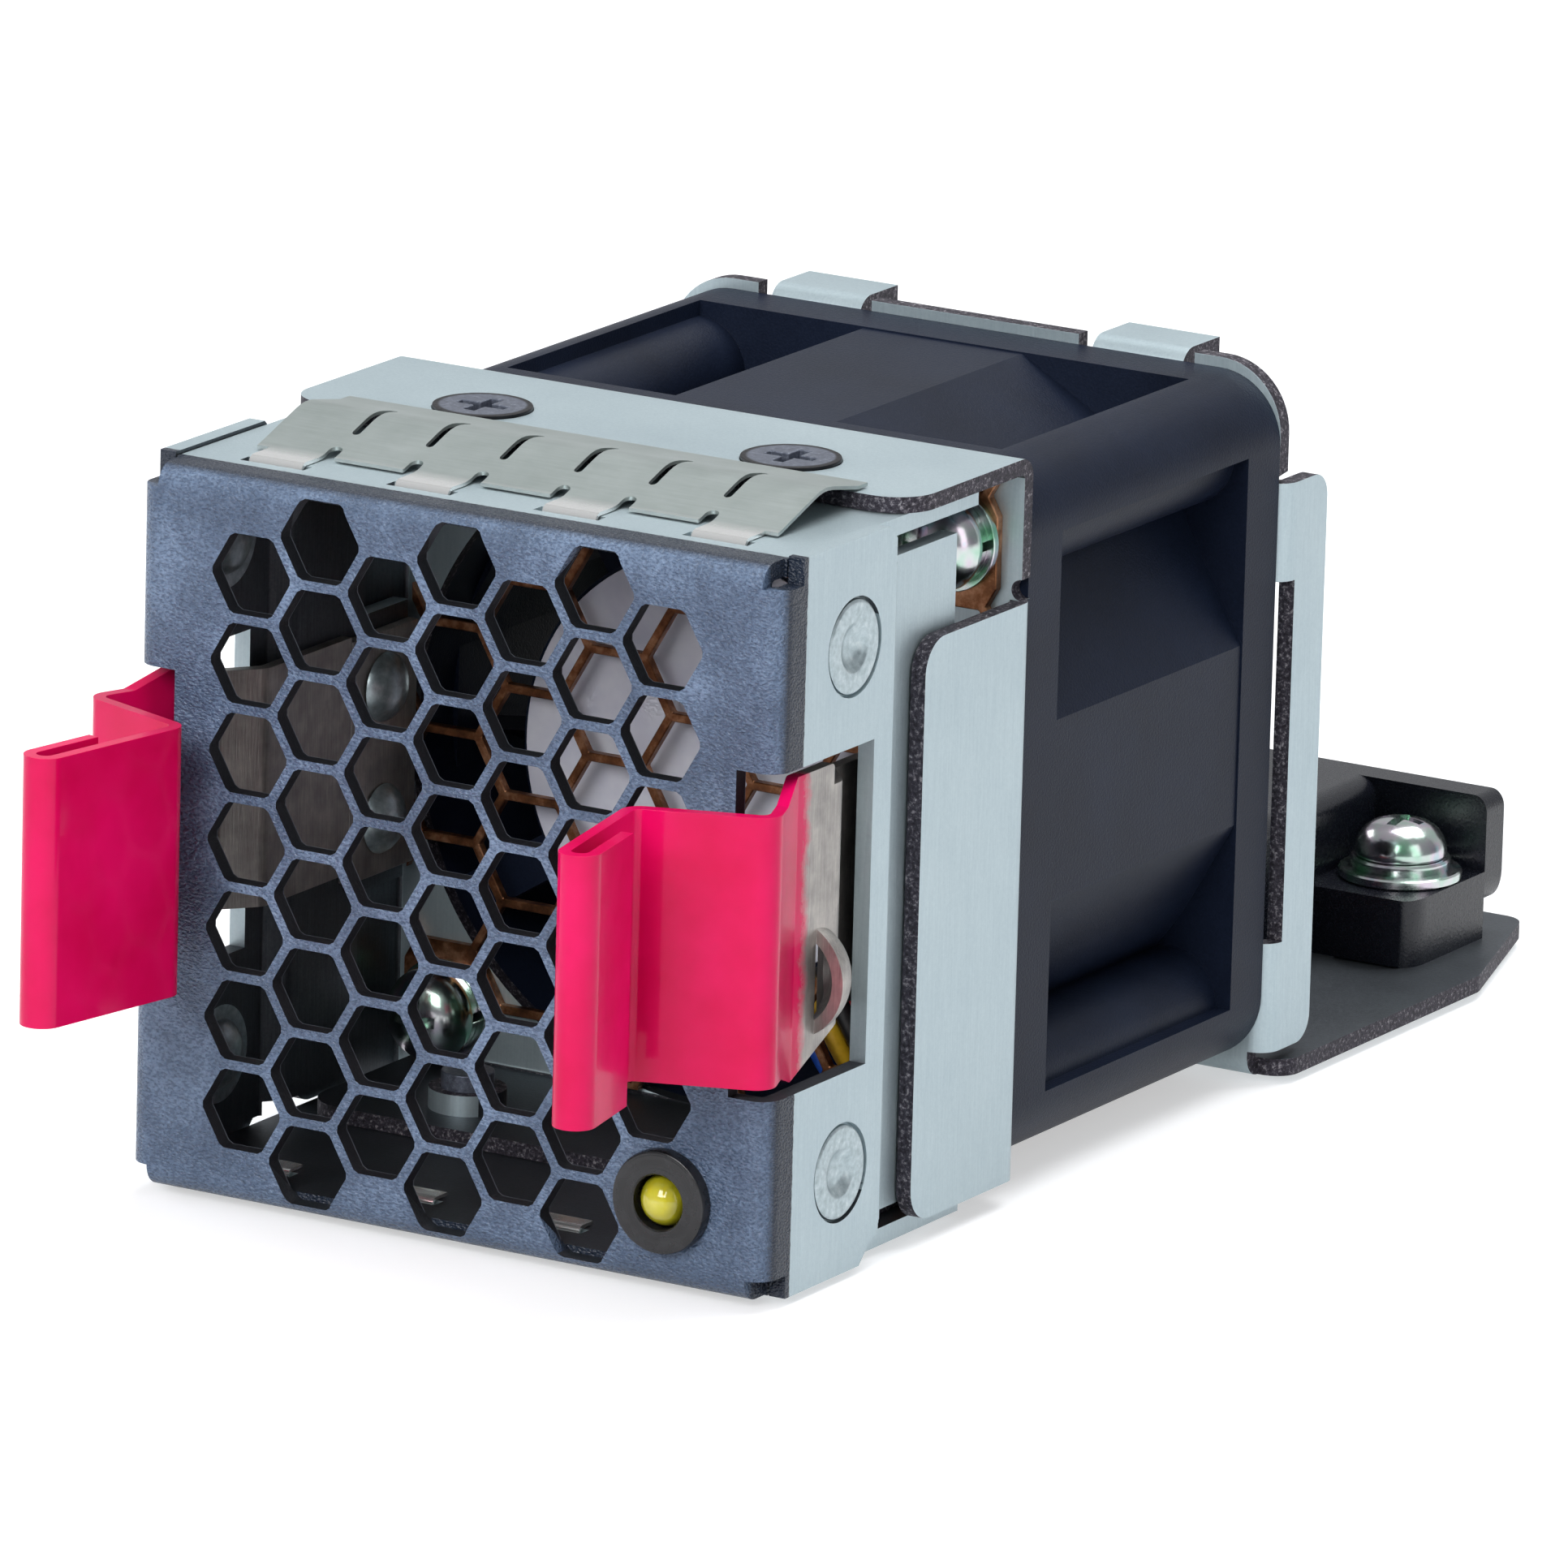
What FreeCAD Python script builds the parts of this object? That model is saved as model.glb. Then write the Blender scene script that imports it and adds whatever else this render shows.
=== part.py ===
import FreeCAD, Part
import math
import os

from FreeCAD import Vector

os.makedirs("parts", exist_ok=True)

# All sizes are in millimetres. X runs to the right seen from the front, Y to the rear and Z up.
# While the pieces are made, Y is 0 on the front face and Z is 0 at the middle of the front.
# The last step moves them so that the origin is under the middle of the finished tray.

# Sheet metal
tray_width = 41.0
tray_height = 41.0
cover_sheet = 1.0
bracket_sheet = 0.9
rear_sheet = 1.0
bend_inside = 0.3
lap_gap = 0.05
seam_gap = 0.1
hole_clearance = 0.05
past = 2.0
same_point = 1e-6
quarter_turn = 90.0
third_turn = 120.0
half_turn = 180.0
full_turn = 360.0
hexagon_sides = 6

# Front cover
side_depth = 12.0
side_rise = 0.2
side_top_chamfer = 0.8
side_bottom_chamfer = 2.0
corner_relief = 2.2
top_flange_depth = 22.5
joggle_length = 1.3
tail_end = 20.2
tail_half_height = 18.4
tongue_end = 24.8
tongue_half_height = 8.0
hex_pitch = 5.04
hex_strut = 0.55
hex_columns = 7
hex_rows = 7
hex_corner = 0.2
handle_cut_inset = 2.6
handle_cut_depth = 10.1
handle_cut_half_height = 9.1

# Press rivets in the side flanges
press_rivet_y = 7.75
press_rivet_z = 14.7
press_rivet_radius = 2.8
press_rivet_tail_radius = 2.0
press_rivet_tail_height = 0.9
press_rivet_groove = 0.25
rivet_head_taper = 0.6
press_rivet_dimple_radius = 1.15
press_rivet_dimple_depth = 0.35

# Finger contact strips
strip_thickness = 0.2
strip_half_width = 16.6
strip_fingers = 7
strip_slit = 0.5
strip_slit_margin = 2.2
strip_front = 4.9
strip_ridge_run = 4.6
strip_ridge_rise = 1.85
strip_ridge_squeezed = 0.5
strip_ridge_radius = 0.8
strip_rear = 15.3
strip_foot = 1.0
clip_tabs = 4
clip_pitch = 9.4
clip_width = 3.4
clip_leg_y = 3.9
clip_reach = 1.4
clip_bend = 0.25
clip_slot_play = 0.35

# Status lamp
lamp_x = 14.1
lamp_z = -15.5
lamp_radius = 1.5
lamp_length = 5.2
lamp_proud = 0.35
lamp_rim_radius = 1.9
lamp_rim_thickness = 0.8
lamp_leg_width = 0.45
lamp_leg_spacing = 1.27
lamp_leg_length = 6.0
bezel_radius = 2.9
bezel_proud = 0.8
bezel_sleeve_radius = 2.35
bezel_tail_length = 3.0

# Squeeze latches, given for the right-hand side
latch_sheet = 0.7
latch_flexure_y = 18.0
latch_flexure_gap = 0.1
latch_leaf_half_height = 7.0
latch_jog_rear = 9.4
latch_jog_front = 7.3
latch_window_inset = 0.3
latch_window_front = 2.6
latch_corner_x = 21.7
latch_corner_y = -2.3
latch_elbow_x = 14.35
latch_elbow_y = -4.9
latch_grip_length = 10.5
latch_grip_splay = 10.4
hem_width = 2.4
hem_lip = 5.5
grip_half_height = 7.55
strip_half_height = 8.5
strip_taper_end = 6.3
latch_notch_top = 7.3
latch_notch_front = 6.5
latch_notch_corner = 0.3
latch_outline_corner = 0.5
catch_z = -3.4
catch_radius = 2.95
catch_height = 1.75
catch_front = 5.0
latch_rivet_y = 21.3
latch_rivet_z = 3.8
latch_rivet_shank = 1.2
latch_rivet_head = 2.0
latch_rivet_head_height = 1.1

# Middle bracket
mid_flange_front = 14.0
mid_flange_half_width = 20.1
mid_flange_corner = 2.5
mid_bottom_half_width = 18.1
mid_side_front = 15.4
mid_side_top = 13.4
mid_side_bottom = -19.5
mid_side_corner = 2.0
relief_radius = 0.6
plate_screw_x = 9.9
plate_screw_y = 18.4
plate_screw_radius = 1.5
plate_screw_head = 2.8
plate_screw_cone = 1.5
plate_screw_rim = 0.2
plate_screw_length = 3.9
collar_radius = 2.2
collar_height = 1.2
recess_width = 0.7
recess_depth = 0.9

# Inner guard
guard_sheet = 0.6
guard_half_width = 18.8
guard_bottom = -18.2
guard_top = 19.9
guard_corner = 1.5
guard_pitch = 6.0
guard_strut = 0.75
guard_columns = 7
guard_rows = 7
guard_hole_corner = 0.4

# Fan
fan_size = 40.0
fan_length = 28.0
fan_front = 27.2
fan_z = 0.5
fan_corner = 4.0
fan_flange = 3.6
fan_bore = 38.0
fan_wall = 0.9
fan_hole_spacing = 32.0
fan_screw_radius = 1.75
post_radius = 3.1
strut_recess = 1.2
strut_thickness = 2.2
strut_width = 2.4
strut_count = 4
lead_strut_angle = -58.0
lead_strut_width = 5.6
lead_strut_thickness = 3.2
base_recess = 0.5
base_radius = 12.4
base_thickness = 1.5
base_boss_radius = 5.0
base_boss_height = 1.8
label_radius = 12.2
label_thickness = 0.15

# Rotor and motor
hub_radius = 12.4
hub_wall = 1.4
hub_front_gap = 1.1
hub_rear_recess = 1.6
hub_end_wall = 1.6
hub_edge = 1.2
blade_count = 7
blade_thickness = 0.9
blade_tip_gap = 0.4
blade_front_gap = 1.6
blade_rear_gap = 0.7
blade_root_sweep = 9.4
blade_tip_sweep = 14.5
blade_camber = 1.4
shaft_radius = 1.5
shaft_running_gap = 0.02
sleeve_radius = 3.7
sleeve_wall = 0.7
sleeve_length = 18.0
bearing_width = 2.5
bearing_race = 0.45
bearing_groove = 0.3
front_bearing_offset = 1.2
clip_thickness = 0.4
clip_radius = 2.3
clip_groove = 0.3
clip_opening = 1.2
clip_margin = 0.2
washer_spring_thickness = 0.25
core_length = 7.0
core_pole_count = 4
core_pole_width = 2.6
core_shoe = 1.3
core_shoe_angle = 62.0
core_hub_radius = 5.2
coil_build = 1.5
coil_side = 1.1
board_radius = 10.2
board_thickness = 1.0
magnet_air_gap = 0.4
magnet_thickness = 0.95
magnet_length = 9.5
yoke_thickness = 0.55
glue_gap = 0.05
brass_boss_radius = 3.0
brass_boss_length = 4.6

# Pan-head screws and their washers
pan_head_radius = 2.7
pan_head_height = 2.2
pan_head_edge = 0.7
pan_head_top_radius = 1.7
fan_screw_length = 7.0
lock_washer_radius = 2.5
lock_washer_thickness = 0.7
lock_washer_slit = 0.5
flat_washer_radius = 2.95
flat_washer_thickness = 0.5

# Rear bracket
rear_plate_top = 21.1
rear_plate_half_width = 20.0
rear_side_end = 60.0
rear_side_top = 14.3
rear_side_bottom = -18.9
rear_side_corner = 1.5
rear_slot_top = 8.6
rear_slot_bottom = -12.5
rear_tab_inner = 7.6
rear_tab_outer = 13.5
rear_tab_end = 59.5
rear_tab_relief = 0.8
floor_half_width = 21.0
floor_end = 92.0
floor_taper_start = 79.4
floor_end_half_width = 17.0
floor_corner = 1.5

# Rear connector
connector_front = 72.0
ear_front = 75.5
shroud_front = 82.5
shroud_end = 90.0
connector_half_width = 19.3
connector_core_half_width = 9.8
connector_top = -9.5
ear_top = -14.7
shroud_bottom = -16.1
connector_corner = 1.2
shroud_wall = 1.0
shroud_depth = 6.2
contact_count = 6
contact_pitch = 2.0
contact_width = 0.9
contact_thickness = 0.6
contact_length = 5.0
contact_root = 2.5
ear_screw_x = 14.3
ear_screw_radius = 1.5
ear_screw_length = 5.4
ear_washer_radius = 3.6
ear_washer_thickness = 0.6
nut_radius = 2.4
nut_height = 1.6

# Fan leads
lead_radius = 0.55
lead_pitch = 1.3
lead_y = 27.8
lead_bend_start = 18.4
lead_bay_run = 4.5
lead_dive_depth = 3.1
lead_dive_reach = 2.6
lead_floor_z = -18.5
lead_floor_x = 8.7
lead_arc_share = 0.45
lead_entry_run = 3.8
lead_notch_play = 0.35
lead_entry_x = -1.3
lead_entry_pitch = 2.5
lead_entry_z = -16.4

# Worked out from the sizes above
half_width = tray_width / 2
half_height = tray_height / 2
cover_bend = bend_inside + cover_sheet
wall_mid = half_width - cover_sheet / 2
wall_inner = half_width - cover_sheet
tail_outer = half_width - bracket_sheet - 2 * lap_gap - hole_clearance
tail_mid = tail_outer - cover_sheet / 2
tail_inner = tail_outer - cover_sheet
deck_inner = half_height - cover_sheet
fan_rear = fan_front + fan_length
plate_rear = fan_rear + rear_sheet
fan_half = fan_size / 2
bore_radius = fan_bore / 2
hole_offset = fan_hole_spacing / 2
fan_screw_hole = fan_screw_radius + hole_clearance
mid_wall_front = fan_front - bracket_sheet
guard_front = mid_wall_front - guard_sheet
mid_top_low = half_height + lap_gap
mid_top_high = mid_top_low + bracket_sheet
mid_bottom_low = -deck_inner + lap_gap
mid_bottom_high = mid_bottom_low + bracket_sheet
floor_low = -half_height
floor_high = floor_low + rear_sheet
ear_screw_y = shroud_front - ear_washer_radius - seam_gap
nut_stem_radius = nut_radius - 2 * hole_clearance
base_front = fan_front + base_recess
base_rear = base_front + base_thickness
boss_rear = base_rear + base_boss_height
hub_front = fan_front + strut_recess + strut_thickness + hub_front_gap
hub_rear = fan_rear - hub_rear_recess
hub_inner = hub_radius - hub_wall
magnet_outer = hub_inner - 2 * glue_gap - yoke_thickness
core_outer = magnet_outer - magnet_thickness - magnet_air_gap
core_front = boss_rear + board_thickness + coil_build + 2 * lap_gap
front_bearing_y = base_rear + front_bearing_offset
rear_bearing_y = base_front + sleeve_length - bearing_width
clip_front = front_bearing_y - shaft_running_gap - clip_margin - clip_thickness
brass_boss_front = hub_rear - hub_end_wall - yoke_thickness - brass_boss_length
latch_hem_inside = hem_width / 2 - latch_sheet
lead_colours = ["red", "black", "yellow", "blue"]
lead_play = lead_radius + lead_notch_play
lead_span = (len(lead_colours) - 1) * lead_pitch
grip_run = latch_grip_length * math.cos(math.radians(latch_grip_splay))
handle_tip = latch_elbow_y - grip_run - latch_sheet / 2
middle_y = (handle_tip + floor_end) / 2
ground_z = -half_height - strip_ridge_squeezed


def rounded_face(corners):
    """Flat face with corners given as (a, b, radius), where radius 0 leaves a corner sharp."""
    spots = [Vector(a, b, 0) for a, b, radius in corners]
    arcs = []
    for index, (a, b, radius) in enumerate(corners):
        here = spots[index]
        back = (spots[index - 1] - here).normalize()
        ahead = (spots[(index + 1) % len(spots)] - here).normalize()
        half_angle = back.getAngle(ahead) / 2
        run = radius / math.tan(half_angle)
        centre = here + (back + ahead).normalize() * (radius / math.sin(half_angle))
        middle = centre + (here - centre).normalize() * radius if radius else here
        arcs.append((here + back * run, middle, here + ahead * run))
    edges = []
    for index, (first, middle, last) in enumerate(arcs):
        if first.distanceToPoint(last) > same_point:
            edges.append(Part.Arc(first, middle, last).toShape())
        after = arcs[(index + 1) % len(arcs)][0]
        if last.distanceToPoint(after) > same_point:
            edges.append(Part.LineSegment(last, after).toShape())
    return Part.Face(Part.Wire(edges))


def bent_face(points, thickness, inside):
    """Edge view of a bent sheet: the straight runs of its middle line and its inside bend radius."""
    spots = [Vector(a, b, 0) for a, b in points]
    runs = [(after - before).normalize() for before, after in zip(spots, spots[1:])]
    normals = [Vector(-run.y, run.x, 0) for run in runs]
    half = thickness / 2
    left = [spots[0] + normals[0] * half]
    right = [spots[0] - normals[0] * half]
    left_radii = [0]
    right_radii = [0]
    for here, before, after in zip(spots[1:], normals, normals[1:]):
        mitre = (before + after).normalize()
        reach = mitre * (half / mitre.dot(before))
        turns_left = before.cross(after).z > 0
        left.append(here + reach)
        right.append(here - reach)
        left_radii.append(inside if turns_left else inside + thickness)
        right_radii.append(inside + thickness if turns_left else inside)
    left.append(spots[-1] + normals[-1] * half)
    right.append(spots[-1] - normals[-1] * half)
    left_radii.append(0)
    right_radii.append(0)
    corners = [(spot.x, spot.y, radius) for spot, radius in zip(left, left_radii)]
    corners += reversed([(spot.x, spot.y, radius) for spot, radius in zip(right, right_radii)])
    return rounded_face(corners)


def prism(face, axis, low, high):
    """Profile pulled between two planes. It holds (y, z) for X, (x, z) for Y and (x, y) for Z."""
    solid = face.extrude(Vector(0, 0, high - low))
    solid.translate(Vector(0, 0, -high if axis == "Y" else low))
    if axis == "X":
        solid.rotate(Vector(), Vector(1, 1, 1), third_turn)
    if axis == "Y":
        solid.rotate(Vector(), Vector(1, 0, 0), quarter_turn)
    return solid


def block(x_low, x_high, y_low, y_high, z_low, z_high):
    """Plain box between pairs of planes."""
    corner = Vector(x_low, y_low, z_low)
    return Part.makeBox(x_high - x_low, y_high - y_low, z_high - z_low, corner)


def rod_y(radius, low, high, x=0.0, z=0.0):
    """Round bar along Y."""
    return Part.makeCylinder(radius, high - low, Vector(x, low, z), Vector(0, 1, 0))


def rod_z(radius, low, high, x=0.0, y=0.0):
    """Round bar along Z."""
    return Part.makeCylinder(radius, high - low, Vector(x, y, low), Vector(0, 0, 1))


def rod_x(radius, low, high, y=0.0, z=0.0):
    """Round bar along X."""
    return Part.makeCylinder(radius, high - low, Vector(low, y, z), Vector(1, 0, 0))


def tube_y(outer, inner, low, high, z=0.0):
    """Round tube along Y."""
    return rod_y(outer, low, high, 0.0, z).cut(rod_y(inner, low - past, high + past, 0.0, z))


def mirrored(shape):
    """The same shape on the other side of the tray."""
    return shape.mirror(Vector(), Vector(1, 0, 0))


def rounded_box_face(x_low, x_high, z_low, z_high, radius):
    """Rectangle with equal round corners."""
    return rounded_face([
        (x_low, z_low, radius),
        (x_high, z_low, radius),
        (x_high, z_high, radius),
        (x_low, z_high, radius),
    ])


def hexagon(across, x, z, corner):
    """Hexagon with a flat top and cut corners: corner is the length cut off each side."""
    reach = across / math.sqrt(3)
    angles = [math.radians(step * full_turn / hexagon_sides) for step in range(hexagon_sides)]
    tips = [Vector(x + reach * math.cos(angle), z + reach * math.sin(angle), 0) for angle in angles]
    spots = []
    for index, tip in enumerate(tips):
        for other in (tips[index - 1], tips[(index + 1) % hexagon_sides]):
            spots.append(tip + (other - tip).normalize() * corner)
    return Part.Face(Part.makePolygon(spots + spots[:1]))


def honeycomb(pitch, columns, rows):
    """Centres of a honeycomb with flat tops: every second column holds one hexagon more."""
    column_pitch = pitch * math.sqrt(3) / 2
    centres = []
    for column in range(columns):
        count = rows + column % 2
        x = (column - (columns - 1) / 2) * column_pitch
        centres += [(x, (row - (count - 1) / 2) * pitch) for row in range(count)]
    return centres


def rivet_head(radius, height):
    """Low head standing on the plane Y = 0 and tapering towards minus Y."""
    return Part.makeCone(radius, radius * rivet_head_taper, height, Vector(), Vector(0, -1, 0))


def cross_recess(depth, reach):
    """Cross-shaped driver recess cut down from the plane Z = 0."""
    half = recess_width / 2
    bar = block(-reach, reach, -half, half, -depth, past)
    return bar.fuse(block(-half, half, -reach, reach, -depth, past))


def countersunk(head, clearance):
    """Countersunk screw pointing down, with its head's top at Z = 0."""
    rim = rod_z(head + clearance, -plate_screw_rim, clearance)
    cone_low = -plate_screw_rim - plate_screw_cone
    shank = plate_screw_radius + clearance
    cone = Part.makeCone(shank, head + clearance, plate_screw_cone, Vector(0, 0, cone_low), Vector(0, 0, 1))
    low = cone_low - plate_screw_length + plate_screw_cone
    return rim.fuse(cone).fuse(rod_z(shank, low, cone_low))


def pan_screw(shank, length):
    """Pan-head screw pointing down, with its head's underside at Z = 0."""
    rim = rod_z(pan_head_radius, 0, pan_head_edge)
    crown_height = pan_head_height - pan_head_edge
    crown = Part.makeCone(pan_head_radius, pan_head_top_radius, crown_height, Vector(0, 0, pan_head_edge))
    recess = cross_recess(recess_depth, pan_head_radius / 2)
    recess.translate(Vector(0, 0, pan_head_height))
    return rim.fuse([crown, rod_z(shank, -length, 0)]).cut(recess)


def facing_front(shape, x, y, z):
    """Turn a screw that points down so that it points to the rear, and put it in its place."""
    turned = shape.copy()
    turned.rotate(Vector(), Vector(1, 0, 0), quarter_turn)
    turned.translate(Vector(x, y, z))
    return turned


def group(solids):
    """Several separate solids kept in one piece."""
    return Part.makeCompound(solids)


def plate_screw_places():
    return [(-plate_screw_x, plate_screw_y), (plate_screw_x, plate_screw_y)]


def plate_screw():
    """Countersunk screw with its cross recess."""
    return countersunk(plate_screw_head, 0.0).cut(cross_recess(recess_depth, plate_screw_radius))


def on_top(screw):
    """Copies of a screw that hold the bracket's top flange on the cover."""
    copies = []
    for x, y in plate_screw_places():
        placed = screw.copy()
        placed.translate(Vector(x, y, mid_top_high + plate_screw_rim))
        copies.append(placed)
    return copies


def underneath(screw):
    """Copies of a screw that hold the cover's bottom flange on the bracket, flush with the cover."""
    copies = []
    for x, y in plate_screw_places():
        placed = screw.copy()
        placed.rotate(Vector(), Vector(1, 0, 0), half_turn)
        placed.translate(Vector(x, y, -half_height))
        copies.append(placed)
    return copies


def plate_screw_holes():
    """Countersunk holes for the top and bottom screws."""
    hole = countersunk(plate_screw_head, hole_clearance)
    return on_top(hole) + underneath(hole)


def clip_places():
    return [(index - (clip_tabs - 1) / 2) * clip_pitch for index in range(clip_tabs)]


def cover_folded():
    """Front, flanges and joggled tails of the cover, folded from one sheet."""
    right = [
        (wall_mid, cover_sheet / 2),
        (wall_mid, side_depth),
        (tail_mid, side_depth + joggle_length),
        (tail_mid, tongue_end),
    ]
    left = [(-x, y) for x, y in reversed(right)]
    straight = half_height - cover_bend
    sides = prism(bent_face(left + right, cover_sheet, bend_inside), "Z", -straight, straight)
    edge = half_width + past
    tail = block(-edge, edge, side_depth, tongue_end + past, -half_height, half_height)
    keep = block(-half_width, half_width, side_depth, tail_end, -tail_half_height, tail_half_height)
    tongue = block(-half_width, half_width, side_depth, tongue_end, -tongue_half_height, tongue_half_height)
    sides = sides.cut(tail.cut(keep.fuse(tongue)))
    deck_mid = half_height - cover_sheet / 2
    deck = [
        (top_flange_depth, deck_mid),
        (cover_sheet / 2, deck_mid),
        (cover_sheet / 2, -deck_mid),
        (top_flange_depth, -deck_mid),
    ]
    across = half_width - cover_bend
    decks = prism(bent_face(deck, cover_sheet, bend_inside), "X", -across, across)
    return sides.fuse(decks)


def cover_side_plate():
    """Full-height part of the right side flange, behind the corner relief."""
    top = half_height + side_rise
    outline = rounded_face([
        (corner_relief, -half_height, 0),
        (side_depth - side_bottom_chamfer, -half_height, 0),
        (side_depth, -half_height + side_bottom_chamfer, 0),
        (side_depth, top - side_top_chamfer, 0),
        (side_depth - side_top_chamfer, top, 0),
        (corner_relief, top, 0),
    ])
    return prism(outline, "X", wall_inner, half_width)


def cover_deck(z_low):
    """Wider flat part of the top or bottom flange, behind the corner relief."""
    edge = wall_inner - seam_gap
    return block(-edge, edge, corner_relief, top_flange_depth, z_low, z_low + cover_sheet)


def front_cover():
    """Folded cover with the honeycomb front."""
    cover = cover_folded()
    side = cover_side_plate()
    cover = cover.fuse([side, mirrored(side), cover_deck(deck_inner), cover_deck(-half_height)])
    collar_low = deck_inner - collar_height
    collars = [rod_z(collar_radius, collar_low, deck_inner, x, y) for x, y in plate_screw_places()]
    cover = cover.fuse(collars)
    cuts = []
    for x, z in honeycomb(hex_pitch, hex_columns, hex_rows):
        near_lamp = math.hypot(x - lamp_x, z - lamp_z) < hex_pitch / 2
        if not near_lamp:
            face = hexagon(hex_pitch - hex_strut, x, z, hex_corner)
            cuts.append(prism(face, "Y", -past, cover_bend))
    cuts.append(rod_y(bezel_sleeve_radius + hole_clearance, -past, cover_sheet + past, lamp_x, lamp_z))
    inner = half_width - handle_cut_inset
    high = handle_cut_half_height
    window = block(inner, half_width + past, -past, handle_cut_depth, -high, high)
    cuts += [window, mirrored(window)]
    for z in (-press_rivet_z, press_rivet_z):
        hole = rod_x(press_rivet_radius, wall_inner - past, half_width + past, press_rivet_y, z)
        cuts += [hole, mirrored(hole)]
    slot_half = clip_width / 2 + clip_slot_play
    slot_low = clip_leg_y - strip_thickness / 2 - clip_slot_play
    slot_high = clip_leg_y + strip_thickness / 2 + clip_slot_play
    deck = half_height + past
    for x in clip_places():
        cuts.append(block(x - slot_half, x + slot_half, slot_low, slot_high, -deck, deck))
    for z in (-latch_rivet_z, latch_rivet_z):
        hole = rod_x(latch_rivet_shank, tail_inner - past, tail_outer + past, latch_rivet_y, z)
        cuts += [hole, mirrored(hole)]
    cuts += plate_screw_holes()
    return cover.cut(cuts)


def press_rivets():
    """Two flush rivets pressed into the right side flange."""
    rivets = []
    for z in (-press_rivet_z, press_rivet_z):
        head = rod_x(press_rivet_radius, wall_inner, half_width, press_rivet_y, z)
        ring = press_rivet_radius - 2 * press_rivet_groove
        groove = rod_x(ring, half_width - press_rivet_groove, half_width + past, press_rivet_y, z)
        island = rod_x(ring - press_rivet_groove, wall_inner, half_width + past, press_rivet_y, z)
        dimple_low = half_width - press_rivet_dimple_depth
        dimple = rod_x(press_rivet_dimple_radius, dimple_low, half_width + past, press_rivet_y, z)
        cap = rivet_head(press_rivet_tail_radius, press_rivet_tail_height)
        cap.rotate(Vector(), Vector(0, 0, 1), -quarter_turn)
        cap.translate(Vector(wall_inner, press_rivet_y, z))
        rivets.append(head.fuse(cap).cut([groove.cut(island), dimple]))
    return rivets


def finger_strip(ridge_rise, foot_level):
    """Contact strip for the top flange: clip tabs, sloping fingers with slits, and a foot.

    foot_level is the height of the face under its foot above the flange.
    """
    half = strip_thickness / 2
    seat = half_height + lap_gap + half
    ridge = half_height + ridge_rise - half
    ridge_y = strip_front + strip_ridge_run
    foot = seat + foot_level
    body = bent_face(
        [(strip_front, seat), (ridge_y, ridge), (strip_rear - strip_foot, foot), (strip_rear, foot)],
        strip_thickness,
        strip_ridge_radius,
    )
    strip = prism(body, "X", -strip_half_width, strip_half_width)
    finger = 2 * strip_half_width / strip_fingers
    slit_half = strip_slit / 2
    slit_corner = slit_half - hole_clearance
    slit_low = strip_front + strip_slit_margin
    slit_high = strip_rear - strip_foot - strip_slit_margin / 2
    cuts = []
    for index in range(1, strip_fingers):
        x = -strip_half_width + index * finger
        slit = rounded_box_face(x - slit_half, x + slit_half, slit_low, slit_high, slit_corner)
        cuts.append(prism(slit, "Z", half_height - past, ridge + past))
    strip = strip.cut(cuts)
    under = half_height - cover_sheet - lap_gap - half
    hook = bent_face(
        [
            (clip_leg_y + clip_reach, under),
            (clip_leg_y, under),
            (clip_leg_y, seat),
            (strip_front + half, seat),
        ],
        strip_thickness,
        clip_bend,
    )
    tabs = [prism(hook, "X", x - clip_width / 2, x + clip_width / 2) for x in clip_places()]
    return strip.fuse(tabs)


def top_gasket_strip():
    return finger_strip(strip_ridge_rise, lap_gap + bracket_sheet)


def bottom_gasket_strip():
    """The same strip under the tray, pressed nearly flat by the tray's weight."""
    strip = finger_strip(strip_ridge_squeezed, 0.0)
    return strip.mirror(Vector(), Vector(0, 0, 1))


def led_bezel():
    """Black ring round the lamp, snapped into the front."""
    ring = rod_y(bezel_radius, -bezel_proud, 0, lamp_x, lamp_z)
    sleeve = rod_y(bezel_sleeve_radius, 0, cover_sheet, lamp_x, lamp_z)
    tail = rod_y(bezel_radius, cover_sheet, cover_sheet + bezel_tail_length, lamp_x, lamp_z)
    bore = rod_y(lamp_radius + hole_clearance, -past, lamp_length + past, lamp_x, lamp_z)
    rim_front = lamp_length - lamp_proud - bezel_proud - lamp_rim_thickness
    seat_radius = lamp_rim_radius + hole_clearance
    seat = rod_y(seat_radius, rim_front - hole_clearance, lamp_length + past, lamp_x, lamp_z)
    return ring.fuse([sleeve, tail]).cut([bore, seat])


def led_lamp():
    """Lamp with a domed front and a rim at its back."""
    front = -bezel_proud - lamp_proud + lamp_radius
    rear = front - lamp_radius + lamp_length
    body = rod_y(lamp_radius, front, rear, lamp_x, lamp_z)
    ball = Part.makeSphere(lamp_radius, Vector(lamp_x, front, lamp_z))
    rim = rod_y(lamp_rim_radius, rear - lamp_rim_thickness, rear, lamp_x, lamp_z)
    return body.fuse([ball, rim])


def led_legs():
    """Two square legs at the back of the lamp."""
    rear = lamp_length - lamp_proud - bezel_proud
    half = lamp_leg_width / 2
    legs = []
    for side in (-1, 1):
        x = lamp_x + side * lamp_leg_spacing
        legs.append(block(x - half, x + half, rear, rear + lamp_leg_length, lamp_z - half, lamp_z + half))
    return group(legs)


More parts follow.
